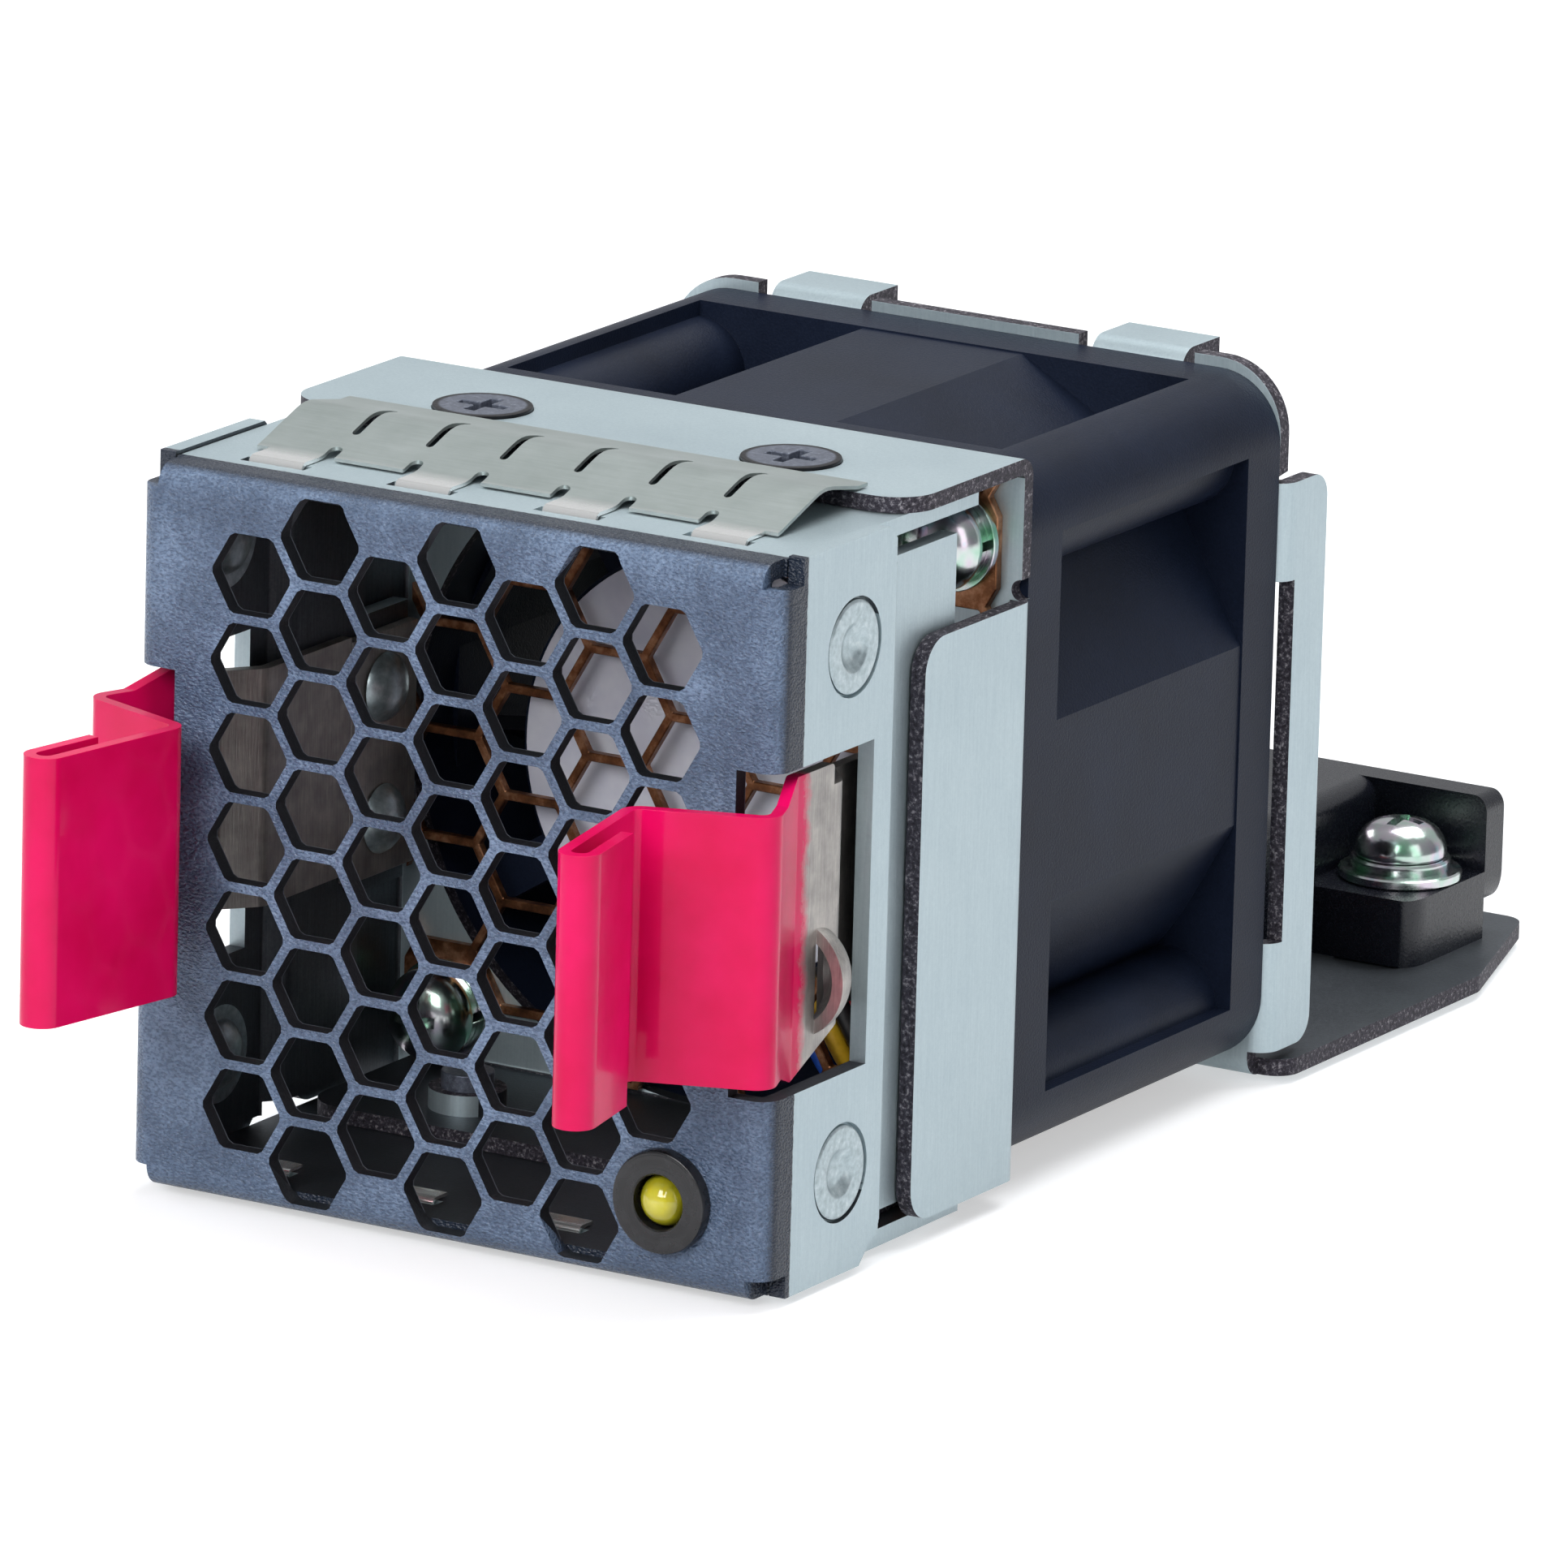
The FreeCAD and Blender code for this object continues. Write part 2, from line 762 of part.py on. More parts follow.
def latch_middle_line():
    """Plan of the moving part of the right latch, from its flexure to the lip of its hem."""
    leaf_x = tail_inner - latch_sheet / 2
    window_x = half_width - latch_window_inset - latch_sheet / 2
    splay = math.radians(latch_grip_splay)
    ahead_x = math.sin(splay)
    ahead_y = -math.cos(splay)
    fold = hem_width - latch_sheet
    tip_x = latch_elbow_x + ahead_x * latch_grip_length
    tip_y = latch_elbow_y + ahead_y * latch_grip_length
    back_x = tip_x - ahead_y * fold
    back_y = tip_y + ahead_x * fold
    return [
        (leaf_x, latch_flexure_y - latch_flexure_gap),
        (leaf_x, latch_jog_rear),
        (window_x, latch_jog_front),
        (window_x, latch_window_front),
        (latch_corner_x, latch_corner_y),
        (latch_elbow_x, latch_elbow_y),
        (tip_x, tip_y),
        (back_x, back_y),
        (back_x - ahead_x * hem_lip, back_y - ahead_y * hem_lip),
    ]


def latch_outline():
    """Side view that trims the latch: grip, wider stretch in the window, and narrower leaf."""
    front = handle_tip - past
    rear = latch_flexure_y + past
    return rounded_face([
        (front, -grip_half_height, 0),
        (0, -grip_half_height, latch_outline_corner),
        (latch_window_front, -strip_half_height, latch_outline_corner),
        (latch_jog_front, -strip_taper_end, latch_outline_corner),
        (rear, -strip_taper_end, 0),
        (rear, latch_notch_top, 0),
        (latch_notch_front, latch_notch_top, 0),
        (latch_notch_front, strip_half_height, latch_notch_corner),
        (latch_window_front, strip_half_height, latch_outline_corner),
        (0, grip_half_height, latch_outline_corner),
        (front, grip_half_height, 0),
    ])


def latch_catch():
    """Half dome raised from the strip, open to the front, and the hollow under it."""
    face_x = half_width - latch_window_inset
    ball = (catch_radius ** 2 + catch_height ** 2) / (2 * catch_height)
    centre = Vector(face_x + catch_height - ball, catch_front, catch_z)
    outer = Part.makeSphere(ball, centre)
    inner = Part.makeSphere(ball - latch_sheet, centre)
    far = face_x + ball + past
    back = catch_front + ball + past
    low = catch_z - ball
    high = catch_z + ball
    shell = outer.cut(inner).common(block(face_x - latch_sheet, far, catch_front, back, low, high))
    hollow = inner.common(block(face_x - latch_sheet - past, far, catch_front, back, low, high))
    return shell, hollow


def latch_arm():
    """Moving part of the right latch: leaf, catch, elbow and hemmed grip."""
    plan = bent_face(latch_middle_line(), latch_sheet, latch_hem_inside)
    arm = prism(plan, "Z", -strip_half_height, strip_half_height)
    trim = prism(latch_outline(), "X", 0, latch_corner_x + past)
    arm = arm.common(trim)
    shell, hollow = latch_catch()
    return arm.cut(hollow).fuse(shell)


def latch_leaf():
    """Riveted root of the right latch, behind the flexure."""
    low = tail_inner - latch_sheet
    half = latch_leaf_half_height
    leaf = block(low, tail_inner, latch_flexure_y, tongue_end, -half, half)
    spots = (-latch_rivet_z, latch_rivet_z)
    holes = [rod_x(latch_rivet_shank, low - past, tail_outer, latch_rivet_y, z) for z in spots]
    return leaf.cut(holes)


def latch_rivets():
    """Rivets through the right leaf and the cover's tail."""
    rivets = []
    for z in (-latch_rivet_z, latch_rivet_z):
        low = tail_inner - latch_sheet
        cap = rivet_head(latch_rivet_head, latch_rivet_head_height)
        cap.rotate(Vector(), Vector(0, 0, 1), -quarter_turn)
        cap.translate(Vector(low, latch_rivet_y, z))
        rivets.append(cap.fuse(rod_x(latch_rivet_shank, low, tail_outer, latch_rivet_y, z)))
    return rivets


def mid_bracket():
    """Galvanised bracket in front of the fan, with top, bottom and side flanges."""
    wall_mid_y = fan_front - bracket_sheet / 2
    top_mid = mid_top_low + bracket_sheet / 2
    bottom_mid = mid_bottom_low + bracket_sheet / 2
    side_mid = half_width - bracket_sheet / 2
    bend = bend_inside + bracket_sheet
    width = mid_flange_half_width
    plan = rounded_face([
        (-width, fan_front + past, 0),
        (-width, mid_flange_front, mid_flange_corner),
        (width, mid_flange_front, mid_flange_corner),
        (width, fan_front + past, 0),
    ])
    top = bent_face(
        [(mid_flange_front, top_mid), (wall_mid_y, top_mid), (wall_mid_y, mid_side_top)],
        bracket_sheet,
        bend_inside,
    )
    top = prism(top, "X", -width, width).common(prism(plan, "Z", mid_side_top, mid_top_high + past))
    low_width = mid_bottom_half_width
    low_plan = rounded_face([
        (-low_width, fan_front + past, 0),
        (-low_width, mid_flange_front, mid_flange_corner),
        (low_width, mid_flange_front, mid_flange_corner),
        (low_width, fan_front + past, 0),
    ])
    bottom = bent_face(
        [(mid_flange_front, bottom_mid), (wall_mid_y, bottom_mid), (wall_mid_y, 0)],
        bracket_sheet,
        bend_inside,
    )
    bottom = prism(bottom, "X", -low_width, low_width)
    bottom = bottom.common(prism(low_plan, "Z", mid_bottom_low - past, 0))
    sides = bent_face(
        [
            (-side_mid, mid_side_front),
            (-side_mid, wall_mid_y),
            (side_mid, wall_mid_y),
            (side_mid, mid_side_front),
        ],
        bracket_sheet,
        bend_inside,
    )
    side_view = rounded_face([
        (mid_side_front, mid_side_bottom, mid_side_corner),
        (fan_front + past, mid_side_bottom, 0),
        (fan_front + past, mid_side_top, 0),
        (mid_side_front, mid_side_top, mid_side_corner),
    ])
    sides = prism(sides, "Z", mid_side_bottom, mid_side_top)
    sides = sides.common(prism(side_view, "X", -half_width - past, half_width + past))
    bracket = sides.fuse([top, bottom])
    cuts = [rod_y(bore_radius, mid_wall_front - past, fan_front + past, 0, fan_z)]
    relief_z = mid_side_top + relief_radius
    for x in (-side_mid, side_mid):
        cuts.append(rod_y(relief_radius, mid_wall_front - bend, fan_front + past, x, relief_z))
    for x, z in front_screw_places():
        cuts.append(rod_y(fan_screw_hole, mid_wall_front - past, fan_front + past, x, z))
    for x, y in plate_screw_places():
        bracket = bracket.fuse(rod_z(collar_radius, mid_bottom_high, mid_bottom_high + collar_height, x, y))
    cuts += plate_screw_holes()
    return bracket.cut(cuts)


def front_screw_places():
    """Two opposite corners of the fan."""
    return [(hole_offset, fan_z + hole_offset), (-hole_offset, fan_z - hole_offset)]


def rear_screw_places():
    """The other two corners of the fan."""
    return [(-hole_offset, fan_z + hole_offset), (hole_offset, fan_z - hole_offset)]


def inner_guard():
    """Thin honeycomb guard in front of the fan."""
    outline = rounded_box_face(-guard_half_width, guard_half_width, guard_bottom, guard_top, guard_corner)
    guard = prism(outline, "Y", guard_front, mid_wall_front)
    cuts = []
    for x, z in honeycomb(guard_pitch, guard_columns, guard_rows):
        if math.hypot(x, z) + guard_pitch / 2 < bore_radius:
            face = hexagon(guard_pitch - guard_strut, x, z + fan_z, guard_hole_corner)
            cuts.append(prism(face, "Y", guard_front - past, mid_wall_front + past))
    for x, z in front_screw_places():
        cuts.append(rod_y(fan_screw_hole, guard_front - past, mid_wall_front + past, x, z))
    return guard.cut(cuts)


def washer_y(radius, bore, front, thickness, x, z):
    """Flat ring on an axis along Y."""
    ring = rod_y(radius, front, front + thickness, x, z)
    return ring.cut(rod_y(bore, front - past, front + thickness + past, x, z))


def front_fan_screws():
    """Pan-head screws through the guard and the bracket into the fan's corners."""
    seat = guard_front - flat_washer_thickness - lock_washer_thickness
    screw = pan_screw(fan_screw_radius, fan_screw_length)
    return group([facing_front(screw, x, seat, z) for x, z in front_screw_places()])


def front_lock_washers():
    """Split spring washers under the heads."""
    front = guard_front - flat_washer_thickness - lock_washer_thickness
    washers = []
    for x, z in front_screw_places():
        ring = washer_y(lock_washer_radius, fan_screw_hole, front, lock_washer_thickness, x, z)
        half = lock_washer_slit / 2
        slit = block(x, x + lock_washer_radius + past, front - past, guard_front, z - half, z + half)
        washers.append(ring.cut(slit))
    return group(washers)


def front_flat_washers():
    front = guard_front - flat_washer_thickness
    return group([
        washer_y(flat_washer_radius, fan_screw_hole, front, flat_washer_thickness, x, z)
        for x, z in front_screw_places()
    ])


def strut_angles():
    return [lead_strut_angle + index * full_turn / strut_count for index in range(strut_count)]


def lead_notch(y_low, y_high):
    """Gap at the bottom of a flange that the four leads pass through."""
    low = lead_floor_x - lead_play
    high = lead_floor_x + lead_span + lead_play
    top = lead_floor_z + lead_play + lead_notch_play
    return block(low, high, y_low, y_high, fan_z - fan_half - past, top)


def fan_frame():
    """Square fan housing: two flanges, corner posts, round barrel, struts and motor base."""
    square = rounded_box_face(-fan_half, fan_half, fan_z - fan_half, fan_z + fan_half, fan_corner)
    front = prism(square, "Y", fan_front, fan_front + fan_flange)
    rear = prism(square, "Y", fan_rear - fan_flange, fan_rear)
    barrel = rod_y(bore_radius + fan_wall, fan_front, fan_rear, 0, fan_z)
    frame = front.fuse([rear, barrel])
    envelope = prism(square, "Y", fan_front, fan_rear)
    posts = []
    for x in (-1, 1):
        for z in (-1, 1):
            centre_z = fan_z + z * hole_offset
            posts.append(rod_y(post_radius, fan_front, fan_rear, x * hole_offset, centre_z))
            x_pair = sorted((x * hole_offset, x * fan_half))
            z_pair = sorted((centre_z, fan_z + z * fan_half))
            posts.append(block(x_pair[0], x_pair[1], fan_front, fan_rear, z_pair[0], z_pair[1]))
    frame = frame.fuse(posts).common(envelope)
    frame = frame.cut(rod_y(bore_radius, fan_front - past, fan_rear + past, 0, fan_z))
    strut_front = fan_front + strut_recess
    base = rod_y(base_radius, base_front, base_rear, 0, fan_z)
    base = base.fuse(rod_y(base_boss_radius, base_rear, boss_rear, 0, fan_z))
    struts = []
    for angle in strut_angles():
        carries_leads = angle == lead_strut_angle
        half = (lead_strut_width if carries_leads else strut_width) / 2
        strut_rear = strut_front + (lead_strut_thickness if carries_leads else strut_thickness)
        root = board_radius + seam_gap if carries_leads else base_boss_radius
        strut = block(root, bore_radius + fan_wall / 2, strut_front, strut_rear, -half, half)
        strut.rotate(Vector(), Vector(0, 1, 0), -angle)
        strut.translate(Vector(0, 0, fan_z))
        struts.append(strut)
    frame = frame.fuse([base] + struts)
    cuts = [rod_y(sleeve_radius, base_front - past, boss_rear + past, 0, fan_z)]
    for x, z in front_screw_places() + rear_screw_places():
        cuts.append(rod_y(fan_screw_hole, fan_front - past, fan_rear + past, x, z))
    cuts.append(lead_notch(fan_front - past, fan_front + fan_flange))
    cuts.append(lead_notch(fan_rear - fan_flange, fan_rear + past))
    cuts.append(lead_passage())
    return frame.cut(cuts)


def lead_passage():
    """Way for the leads over the end of the motor strut and down into the pocket beside the barrel."""
    low = lead_route(len(lead_colours) - 1)[1].x - lead_play
    high = lead_floor_x + lead_span + lead_play
    way = block(low, high, lead_y - lead_play, lead_y + lead_dive_depth, fan_z - fan_half, fan_z)
    return way.cut(rod_y(bore_radius - lead_dive_reach, fan_front - past, fan_rear, 0, fan_z))


def fan_label():
    """Blank round label on the motor base."""
    return rod_y(label_radius, base_front - label_thickness, base_front, 0, fan_z)


def bearing_sleeve():
    """Brass tube that holds both bearings."""
    return tube_y(sleeve_radius, sleeve_radius - sleeve_wall, base_front, base_front + sleeve_length, fan_z)


def bearing(front):
    """Ball bearing drawn as one ring with a groove in each face between its races."""
    outer = sleeve_radius - sleeve_wall
    rear = front + bearing_width
    ring = tube_y(outer, shaft_radius + shaft_running_gap, front, rear, fan_z)
    groove_outer = outer - bearing_race
    groove_inner = shaft_radius + shaft_running_gap + bearing_race
    cuts = [
        tube_y(groove_outer, groove_inner, front, front + bearing_groove, fan_z),
        tube_y(groove_outer, groove_inner, rear - bearing_groove, rear, fan_z),
    ]
    return ring.cut(cuts)


def fan_shaft():
    """Steel shaft with a groove for its clip."""
    shaft = rod_y(shaft_radius, clip_front - clip_margin, hub_rear - hub_end_wall, 0, fan_z)
    clip_rear = clip_front + clip_thickness
    groove = tube_y(shaft_radius + past, shaft_radius - clip_groove, clip_front, clip_rear, fan_z)
    return shaft.cut(groove)


def shaft_clip():
    """Open ring in the shaft's groove that keeps the rotor from coming out."""
    clip_rear = clip_front + clip_thickness
    ring = tube_y(clip_radius, shaft_radius - clip_groove, clip_front, clip_rear, fan_z)
    half = clip_opening / 2
    return ring.cut(block(0, clip_radius + past, base_front, hub_rear, fan_z - half, fan_z + half))


def preload_washer():
    """Dished spring washer between the rear bearing and the rotor's brass boss."""
    inner = shaft_radius + hole_clearance
    outer = brass_boss_radius - 2 * hole_clearance
    front = rear_bearing_y + bearing_width + 2 * hole_clearance
    rear = brass_boss_front - washer_spring_thickness
    points = [
        Vector(inner, front, 0),
        Vector(outer - sleeve_wall, rear, 0),
        Vector(outer - sleeve_wall, rear + washer_spring_thickness, 0),
        Vector(inner, front + washer_spring_thickness, 0),
    ]
    profile = Part.Face(Part.makePolygon(points + points[:1]))
    washer = profile.revolve(Vector(), Vector(0, 1, 0), full_turn)
    washer.translate(Vector(0, 0, fan_z))
    return washer


def brass_boss():
    """Brass boss that fixes the shaft in the rotor."""
    rear = brass_boss_front + brass_boss_length
    return tube_y(brass_boss_radius, shaft_radius, brass_boss_front, rear, fan_z)


def rotor_yoke():
    """Steel cup that closes the magnet's field, with a hole for the shaft."""
    outer = hub_inner - glue_gap
    rear = hub_rear - hub_end_wall
    cup = rod_y(outer, hub_front, rear, 0, fan_z)
    cup = cup.cut(rod_y(outer - yoke_thickness, hub_front - past, rear - yoke_thickness, 0, fan_z))
    return cup.cut(rod_y(shaft_radius, hub_front, rear + past, 0, fan_z))


def magnet_ring():
    """Magnet round the core, centred on its length."""
    front = core_front - (magnet_length - core_length) / 2
    return tube_y(magnet_outer, magnet_outer - magnet_thickness, front, front + magnet_length, fan_z)


def stator_core():
    """Laminated core with four shoes."""
    rear = core_front + core_length
    core = rod_y(core_hub_radius, core_front, rear, 0, fan_z)
    ring = tube_y(core_outer, core_outer - core_shoe, core_front, rear, fan_z)
    pieces = []
    for index in range(core_pole_count):
        angle = index * full_turn / core_pole_count
        half = core_pole_width / 2
        neck = block(0, core_outer - core_shoe / 2, core_front, rear, -half, half)
        wedge_half = core_outer * math.tan(math.radians(core_shoe_angle / 2))
        wedge = Part.Face(Part.makePolygon([
            Vector(0, core_front, 0),
            Vector(core_outer, core_front, wedge_half),
            Vector(core_outer, core_front, -wedge_half),
            Vector(0, core_front, 0),
        ]))
        wedge = wedge.extrude(Vector(0, core_length, 0))
        for piece in (neck, wedge):
            piece.rotate(Vector(), Vector(0, 1, 0), angle)
            piece.translate(Vector(0, 0, fan_z))
        pieces += [neck, ring.common(wedge)]
    return core.fuse(pieces).cut(rod_y(sleeve_radius, core_front - past, rear + past, 0, fan_z))


def stator_coils():
    """Four windings, each a ring round the neck of a pole."""
    front = core_front - coil_build
    rear = core_front + core_length + coil_build
    half = core_pole_width / 2
    side = half + coil_side
    room = half + lap_gap
    low = core_hub_radius + hole_clearance
    high = math.sqrt((core_outer - core_shoe) ** 2 - side ** 2) - hole_clearance
    coils = []
    for index in range(core_pole_count):
        outer = block(low, high, front, rear, -side, side)
        hole_front = core_front - lap_gap
        hole_rear = core_front + core_length + lap_gap
        hole = block(low - past, high + past, hole_front, hole_rear, -room, room)
        coil = outer.cut(hole)
        coil.rotate(Vector(), Vector(0, 1, 0), index * full_turn / core_pole_count)
        coil.translate(Vector(0, 0, fan_z))
        coils.append(coil)
    return group(coils)


def motor_board():
    """Round circuit board on the base's boss."""
    rear = boss_rear + board_thickness
    return tube_y(board_radius, sleeve_radius + hole_clearance, boss_rear, rear, fan_z)


def blade_section(radius, sweep):
    """Closed outline of a blade across its span: two parallel arcs with joined ends."""
    front = hub_front + blade_front_gap
    rear = hub_rear - blade_rear_gap
    middle = (front + rear) / 2
    half = blade_thickness / 2
    lean = math.atan2(sweep, rear - front)
    shift_y = half * math.sin(lean)
    shift_z = half * math.cos(lean)
    ends = []
    for side in (-1, 1):
        start = Vector(radius, front - side * shift_y, -sweep / 2 + side * shift_z)
        bend = Vector(radius, middle - side * shift_y + blade_camber, side * shift_z - blade_camber)
        stop = Vector(radius, rear - side * shift_y, sweep / 2 + side * shift_z)
        ends.append((start, bend, stop))
    (start, bend, stop), (start_2, bend_2, stop_2) = ends
    edges = [
        Part.Arc(start, bend, stop).toShape(),
        Part.LineSegment(stop, stop_2).toShape(),
        Part.Arc(stop_2, bend_2, start_2).toShape(),
        Part.LineSegment(start_2, start).toShape(),
    ]
    return Part.Wire(edges)


def fan_rotor():
    """Hub with its blades."""
    hub = rod_y(hub_radius, hub_front, hub_rear, 0, 0)
    rear_edge = [edge for edge in hub.Edges if abs(edge.CenterOfMass.y - hub_rear) < same_point]
    hub = hub.makeChamfer(hub_edge, rear_edge)
    root_half = blade_root_sweep / 2 + blade_thickness
    root = math.sqrt(hub_radius ** 2 - root_half ** 2) - hole_clearance
    tip = bore_radius - blade_tip_gap
    middle = (root + tip) / 2
    middle_sweep = (blade_root_sweep + blade_tip_sweep) / 2
    sections = [
        blade_section(root, blade_root_sweep),
        blade_section(middle, middle_sweep),
        blade_section(tip, blade_tip_sweep),
    ]
    blade = Part.makeLoft(sections, True, True)
    blade = blade.common(rod_y(tip, hub_front, hub_rear))
    blades = []
    for index in range(blade_count):
        turned = blade.copy()
        turned.rotate(Vector(), Vector(0, 1, 0), index * full_turn / blade_count)
        blades.append(turned)
    rotor = hub.fuse(blades).cut(rod_y(hub_inner, hub_front - past, hub_rear - hub_end_wall))
    rotor.translate(Vector(0, 0, fan_z))
    return rotor


def rear_fan_screws():
    """Pan-head screws through the rear bracket into the fan's other two corners."""
    screws = []
    for x, z in rear_screw_places():
        screw = pan_screw(fan_screw_radius, fan_screw_length)
        screw.rotate(Vector(), Vector(1, 0, 0), -quarter_turn)
        screw.translate(Vector(x, plate_rear, z))
        screws.append(screw)
    return group(screws)


def rear_bracket():
    """Galvanised bracket behind the fan, with tabs, side flanges and the connector's floor."""
    mid_y = fan_rear + rear_sheet / 2
    bend = bend_inside + rear_sheet
    side_mid = half_width - rear_sheet / 2
    floor_mid = floor_low + rear_sheet / 2
    sides = bent_face(
        [
            (-side_mid, rear_side_end),
            (-side_mid, mid_y),
            (side_mid, mid_y),
            (side_mid, rear_side_end),
        ],
        rear_sheet,
        bend_inside,
    )
    side_view = rounded_face([
        (fan_rear, rear_side_bottom, 0),
        (rear_side_end, rear_side_bottom, rear_side_corner),
        (rear_side_end, rear_side_top, rear_side_corner),
        (fan_rear, rear_side_top, 0),
    ])
    sides = prism(sides, "Z", rear_side_bottom, rear_side_top)
    sides = sides.common(prism(side_view, "X", -half_width - past, half_width + past))
    width = rear_plate_half_width
    foot = half_width - bend
    plate = rounded_face([
        (-foot, floor_low + bend, 0),
        (foot, floor_low + bend, 0),
        (foot, rear_side_top, 0),
        (width, rear_side_top + relief_radius, 0),
        (width, rear_plate_top, fan_corner),
        (-width, rear_plate_top, fan_corner),
        (-width, rear_side_top + relief_radius, 0),
        (-foot, rear_side_top, 0),
    ])
    plate = prism(plate, "Y", fan_rear, plate_rear)
    heel = bent_face(
        [(mid_y, rear_side_bottom), (mid_y, floor_mid), (fan_rear + 2 * bend, floor_mid)],
        rear_sheet,
        bend_inside,
    )
    heel = prism(heel, "X", -foot, foot)
    floor = rounded_face([
        (-floor_half_width, fan_rear + bend, floor_corner),
        (floor_half_width, fan_rear + bend, floor_corner),
        (floor_half_width, floor_taper_start, floor_corner),
        (floor_end_half_width, floor_end, floor_corner),
        (-floor_end_half_width, floor_end, floor_corner),
        (-floor_half_width, floor_taper_start, floor_corner),
    ])
    floor = prism(floor, "Z", floor_low, floor_high)
    tab_mid = rear_plate_top - rear_sheet / 2
    tab_line = [(mid_y, tab_mid - bend), (mid_y, tab_mid), (rear_tab_end, tab_mid)]
    tab = prism(bent_face(tab_line, rear_sheet, bend_inside), "X", rear_tab_inner, rear_tab_outer)
    room_low = rear_tab_inner - rear_tab_relief
    room_high = rear_tab_outer + rear_tab_relief
    room_foot = tab_mid - rear_sheet
    room_top = rear_plate_top + past
    tab_room = block(room_low, room_high, fan_rear - past, plate_rear + past, room_foot, room_top)
    plate = plate.cut([tab_room, mirrored(tab_room)])
    tab_root = block(rear_tab_inner, rear_tab_outer, fan_rear, plate_rear, tab_mid - bend, room_foot)
    bracket = plate.fuse([sides, heel, floor, tab, mirrored(tab), tab_root, mirrored(tab_root)])
    cuts = [rod_y(bore_radius, fan_rear - past, fan_rear + past, 0, fan_z)]
    slot = block(foot, half_width + past, fan_rear - past, fan_rear + bend, rear_slot_bottom, rear_slot_top)
    cuts += [slot, mirrored(slot)]
    for x, z in rear_screw_places():
        cuts.append(rod_y(fan_screw_hole, fan_rear - past, plate_rear + past, x, z))
    play = lead_radius + hole_clearance
    lead_low = lead_floor_x - play
    lead_high = lead_floor_x + lead_span + play
    lead_foot = lead_floor_z - play
    lead_top = lead_floor_z + play
    cuts.append(block(lead_low, lead_high, fan_rear - past, plate_rear + past, lead_foot, lead_top))
    for x in (-ear_screw_x, ear_screw_x):
        cuts.append(rod_z(nut_stem_radius, floor_low - past, floor_high + past, x, ear_screw_y))
    return bracket.cut(cuts)


def connector_body():
    """Black plug housing: core, two screwed ears and the shroud that mates to the rear."""
    width = connector_half_width
    core_width = connector_core_half_width
    core = rounded_box_face(-core_width, core_width, floor_high, connector_top, connector_corner)
    core = prism(core, "Y", connector_front, shroud_front)
    ears = rounded_face([
        (-width, ear_front, connector_corner),
        (width, ear_front, connector_corner),
        (width, shroud_front, 0),
        (-width, shroud_front, 0),
    ])
    ears = prism(ears, "Z", floor_high, ear_top)
    shroud = rounded_box_face(-width, width, shroud_bottom, connector_top, connector_corner)
    shroud = prism(shroud, "Y", shroud_front, shroud_end)
    mouth_width = width - shroud_wall
    mouth_low = shroud_bottom + shroud_wall
    mouth_high = connector_top - shroud_wall
    mouth_corner = connector_corner - shroud_wall / 2
    mouth = rounded_box_face(-mouth_width, mouth_width, mouth_low, mouth_high, mouth_corner)
    mouth = prism(mouth, "Y", shroud_end - shroud_depth, shroud_end + past)
    body = core.fuse([ears, shroud]).cut(mouth)
    cuts = []
    shank_room = ear_screw_radius + 2 * hole_clearance
    nut_room = nut_radius + hole_clearance
    for x in (-ear_screw_x, ear_screw_x):
        cuts.append(rod_z(shank_room, floor_low, ear_top + past, x, ear_screw_y))
        cuts.append(rod_z(nut_room, floor_low, floor_high + nut_height + hole_clearance, x, ear_screw_y))
    for x, z, y_low, y_high in contact_places():
        cuts.append(contact_bar(x, z, y_low - hole_clearance, y_high))
    return body.cut(cuts)


def contact_places():
    """Middle and ends of each contact blade."""
    z = (shroud_bottom + connector_top) / 2
    mouth_floor = shroud_end - shroud_depth
    places = []
    for index in range(contact_count):
        x = (index - (contact_count - 1) / 2) * contact_pitch
        places.append((x, z, mouth_floor - contact_root, mouth_floor + contact_length))
    return places


def contact_bar(x, z, y_low, y_high):
    half = contact_width / 2
    thin = contact_thickness / 2
    return block(x - half, x + half, y_low, y_high, z - thin, z + thin)


def connector_contacts():
    return group([contact_bar(x, z, y_low, y_high) for x, z, y_low, y_high in contact_places()])


def connector_screws():
    screws = []
    for x in (-ear_screw_x, ear_screw_x):
        screw = pan_screw(ear_screw_radius, ear_screw_length)
        screw.translate(Vector(x, ear_screw_y, ear_top + ear_washer_thickness))
        screws.append(screw)
    return group(screws)


def connector_washers():
    washers = []
    bore = ear_screw_radius + hole_clearance
    for x in (-ear_screw_x, ear_screw_x):
        ring = rod_z(ear_washer_radius, ear_top, ear_top + ear_washer_thickness, x, ear_screw_y)
        washers.append(ring.cut(rod_z(bore, floor_low, ear_top + past, x, ear_screw_y)))
    return group(washers)


def connector_nuts():
    """Nuts pressed into the floor, with their tops inside the ears."""
    nuts = []
    nut_top = floor_high + nut_height
    thread = ear_screw_radius + hole_clearance
    for x in (-ear_screw_x, ear_screw_x):
        top = rod_z(nut_radius, floor_high, nut_top, x, ear_screw_y)
        stem = rod_z(nut_stem_radius, floor_low, floor_high, x, ear_screw_y)
        bore = rod_z(thread, floor_low - past, nut_top + past, x, ear_screw_y)
        nuts.append(top.fuse(stem).cut(bore))
    return group(nuts)


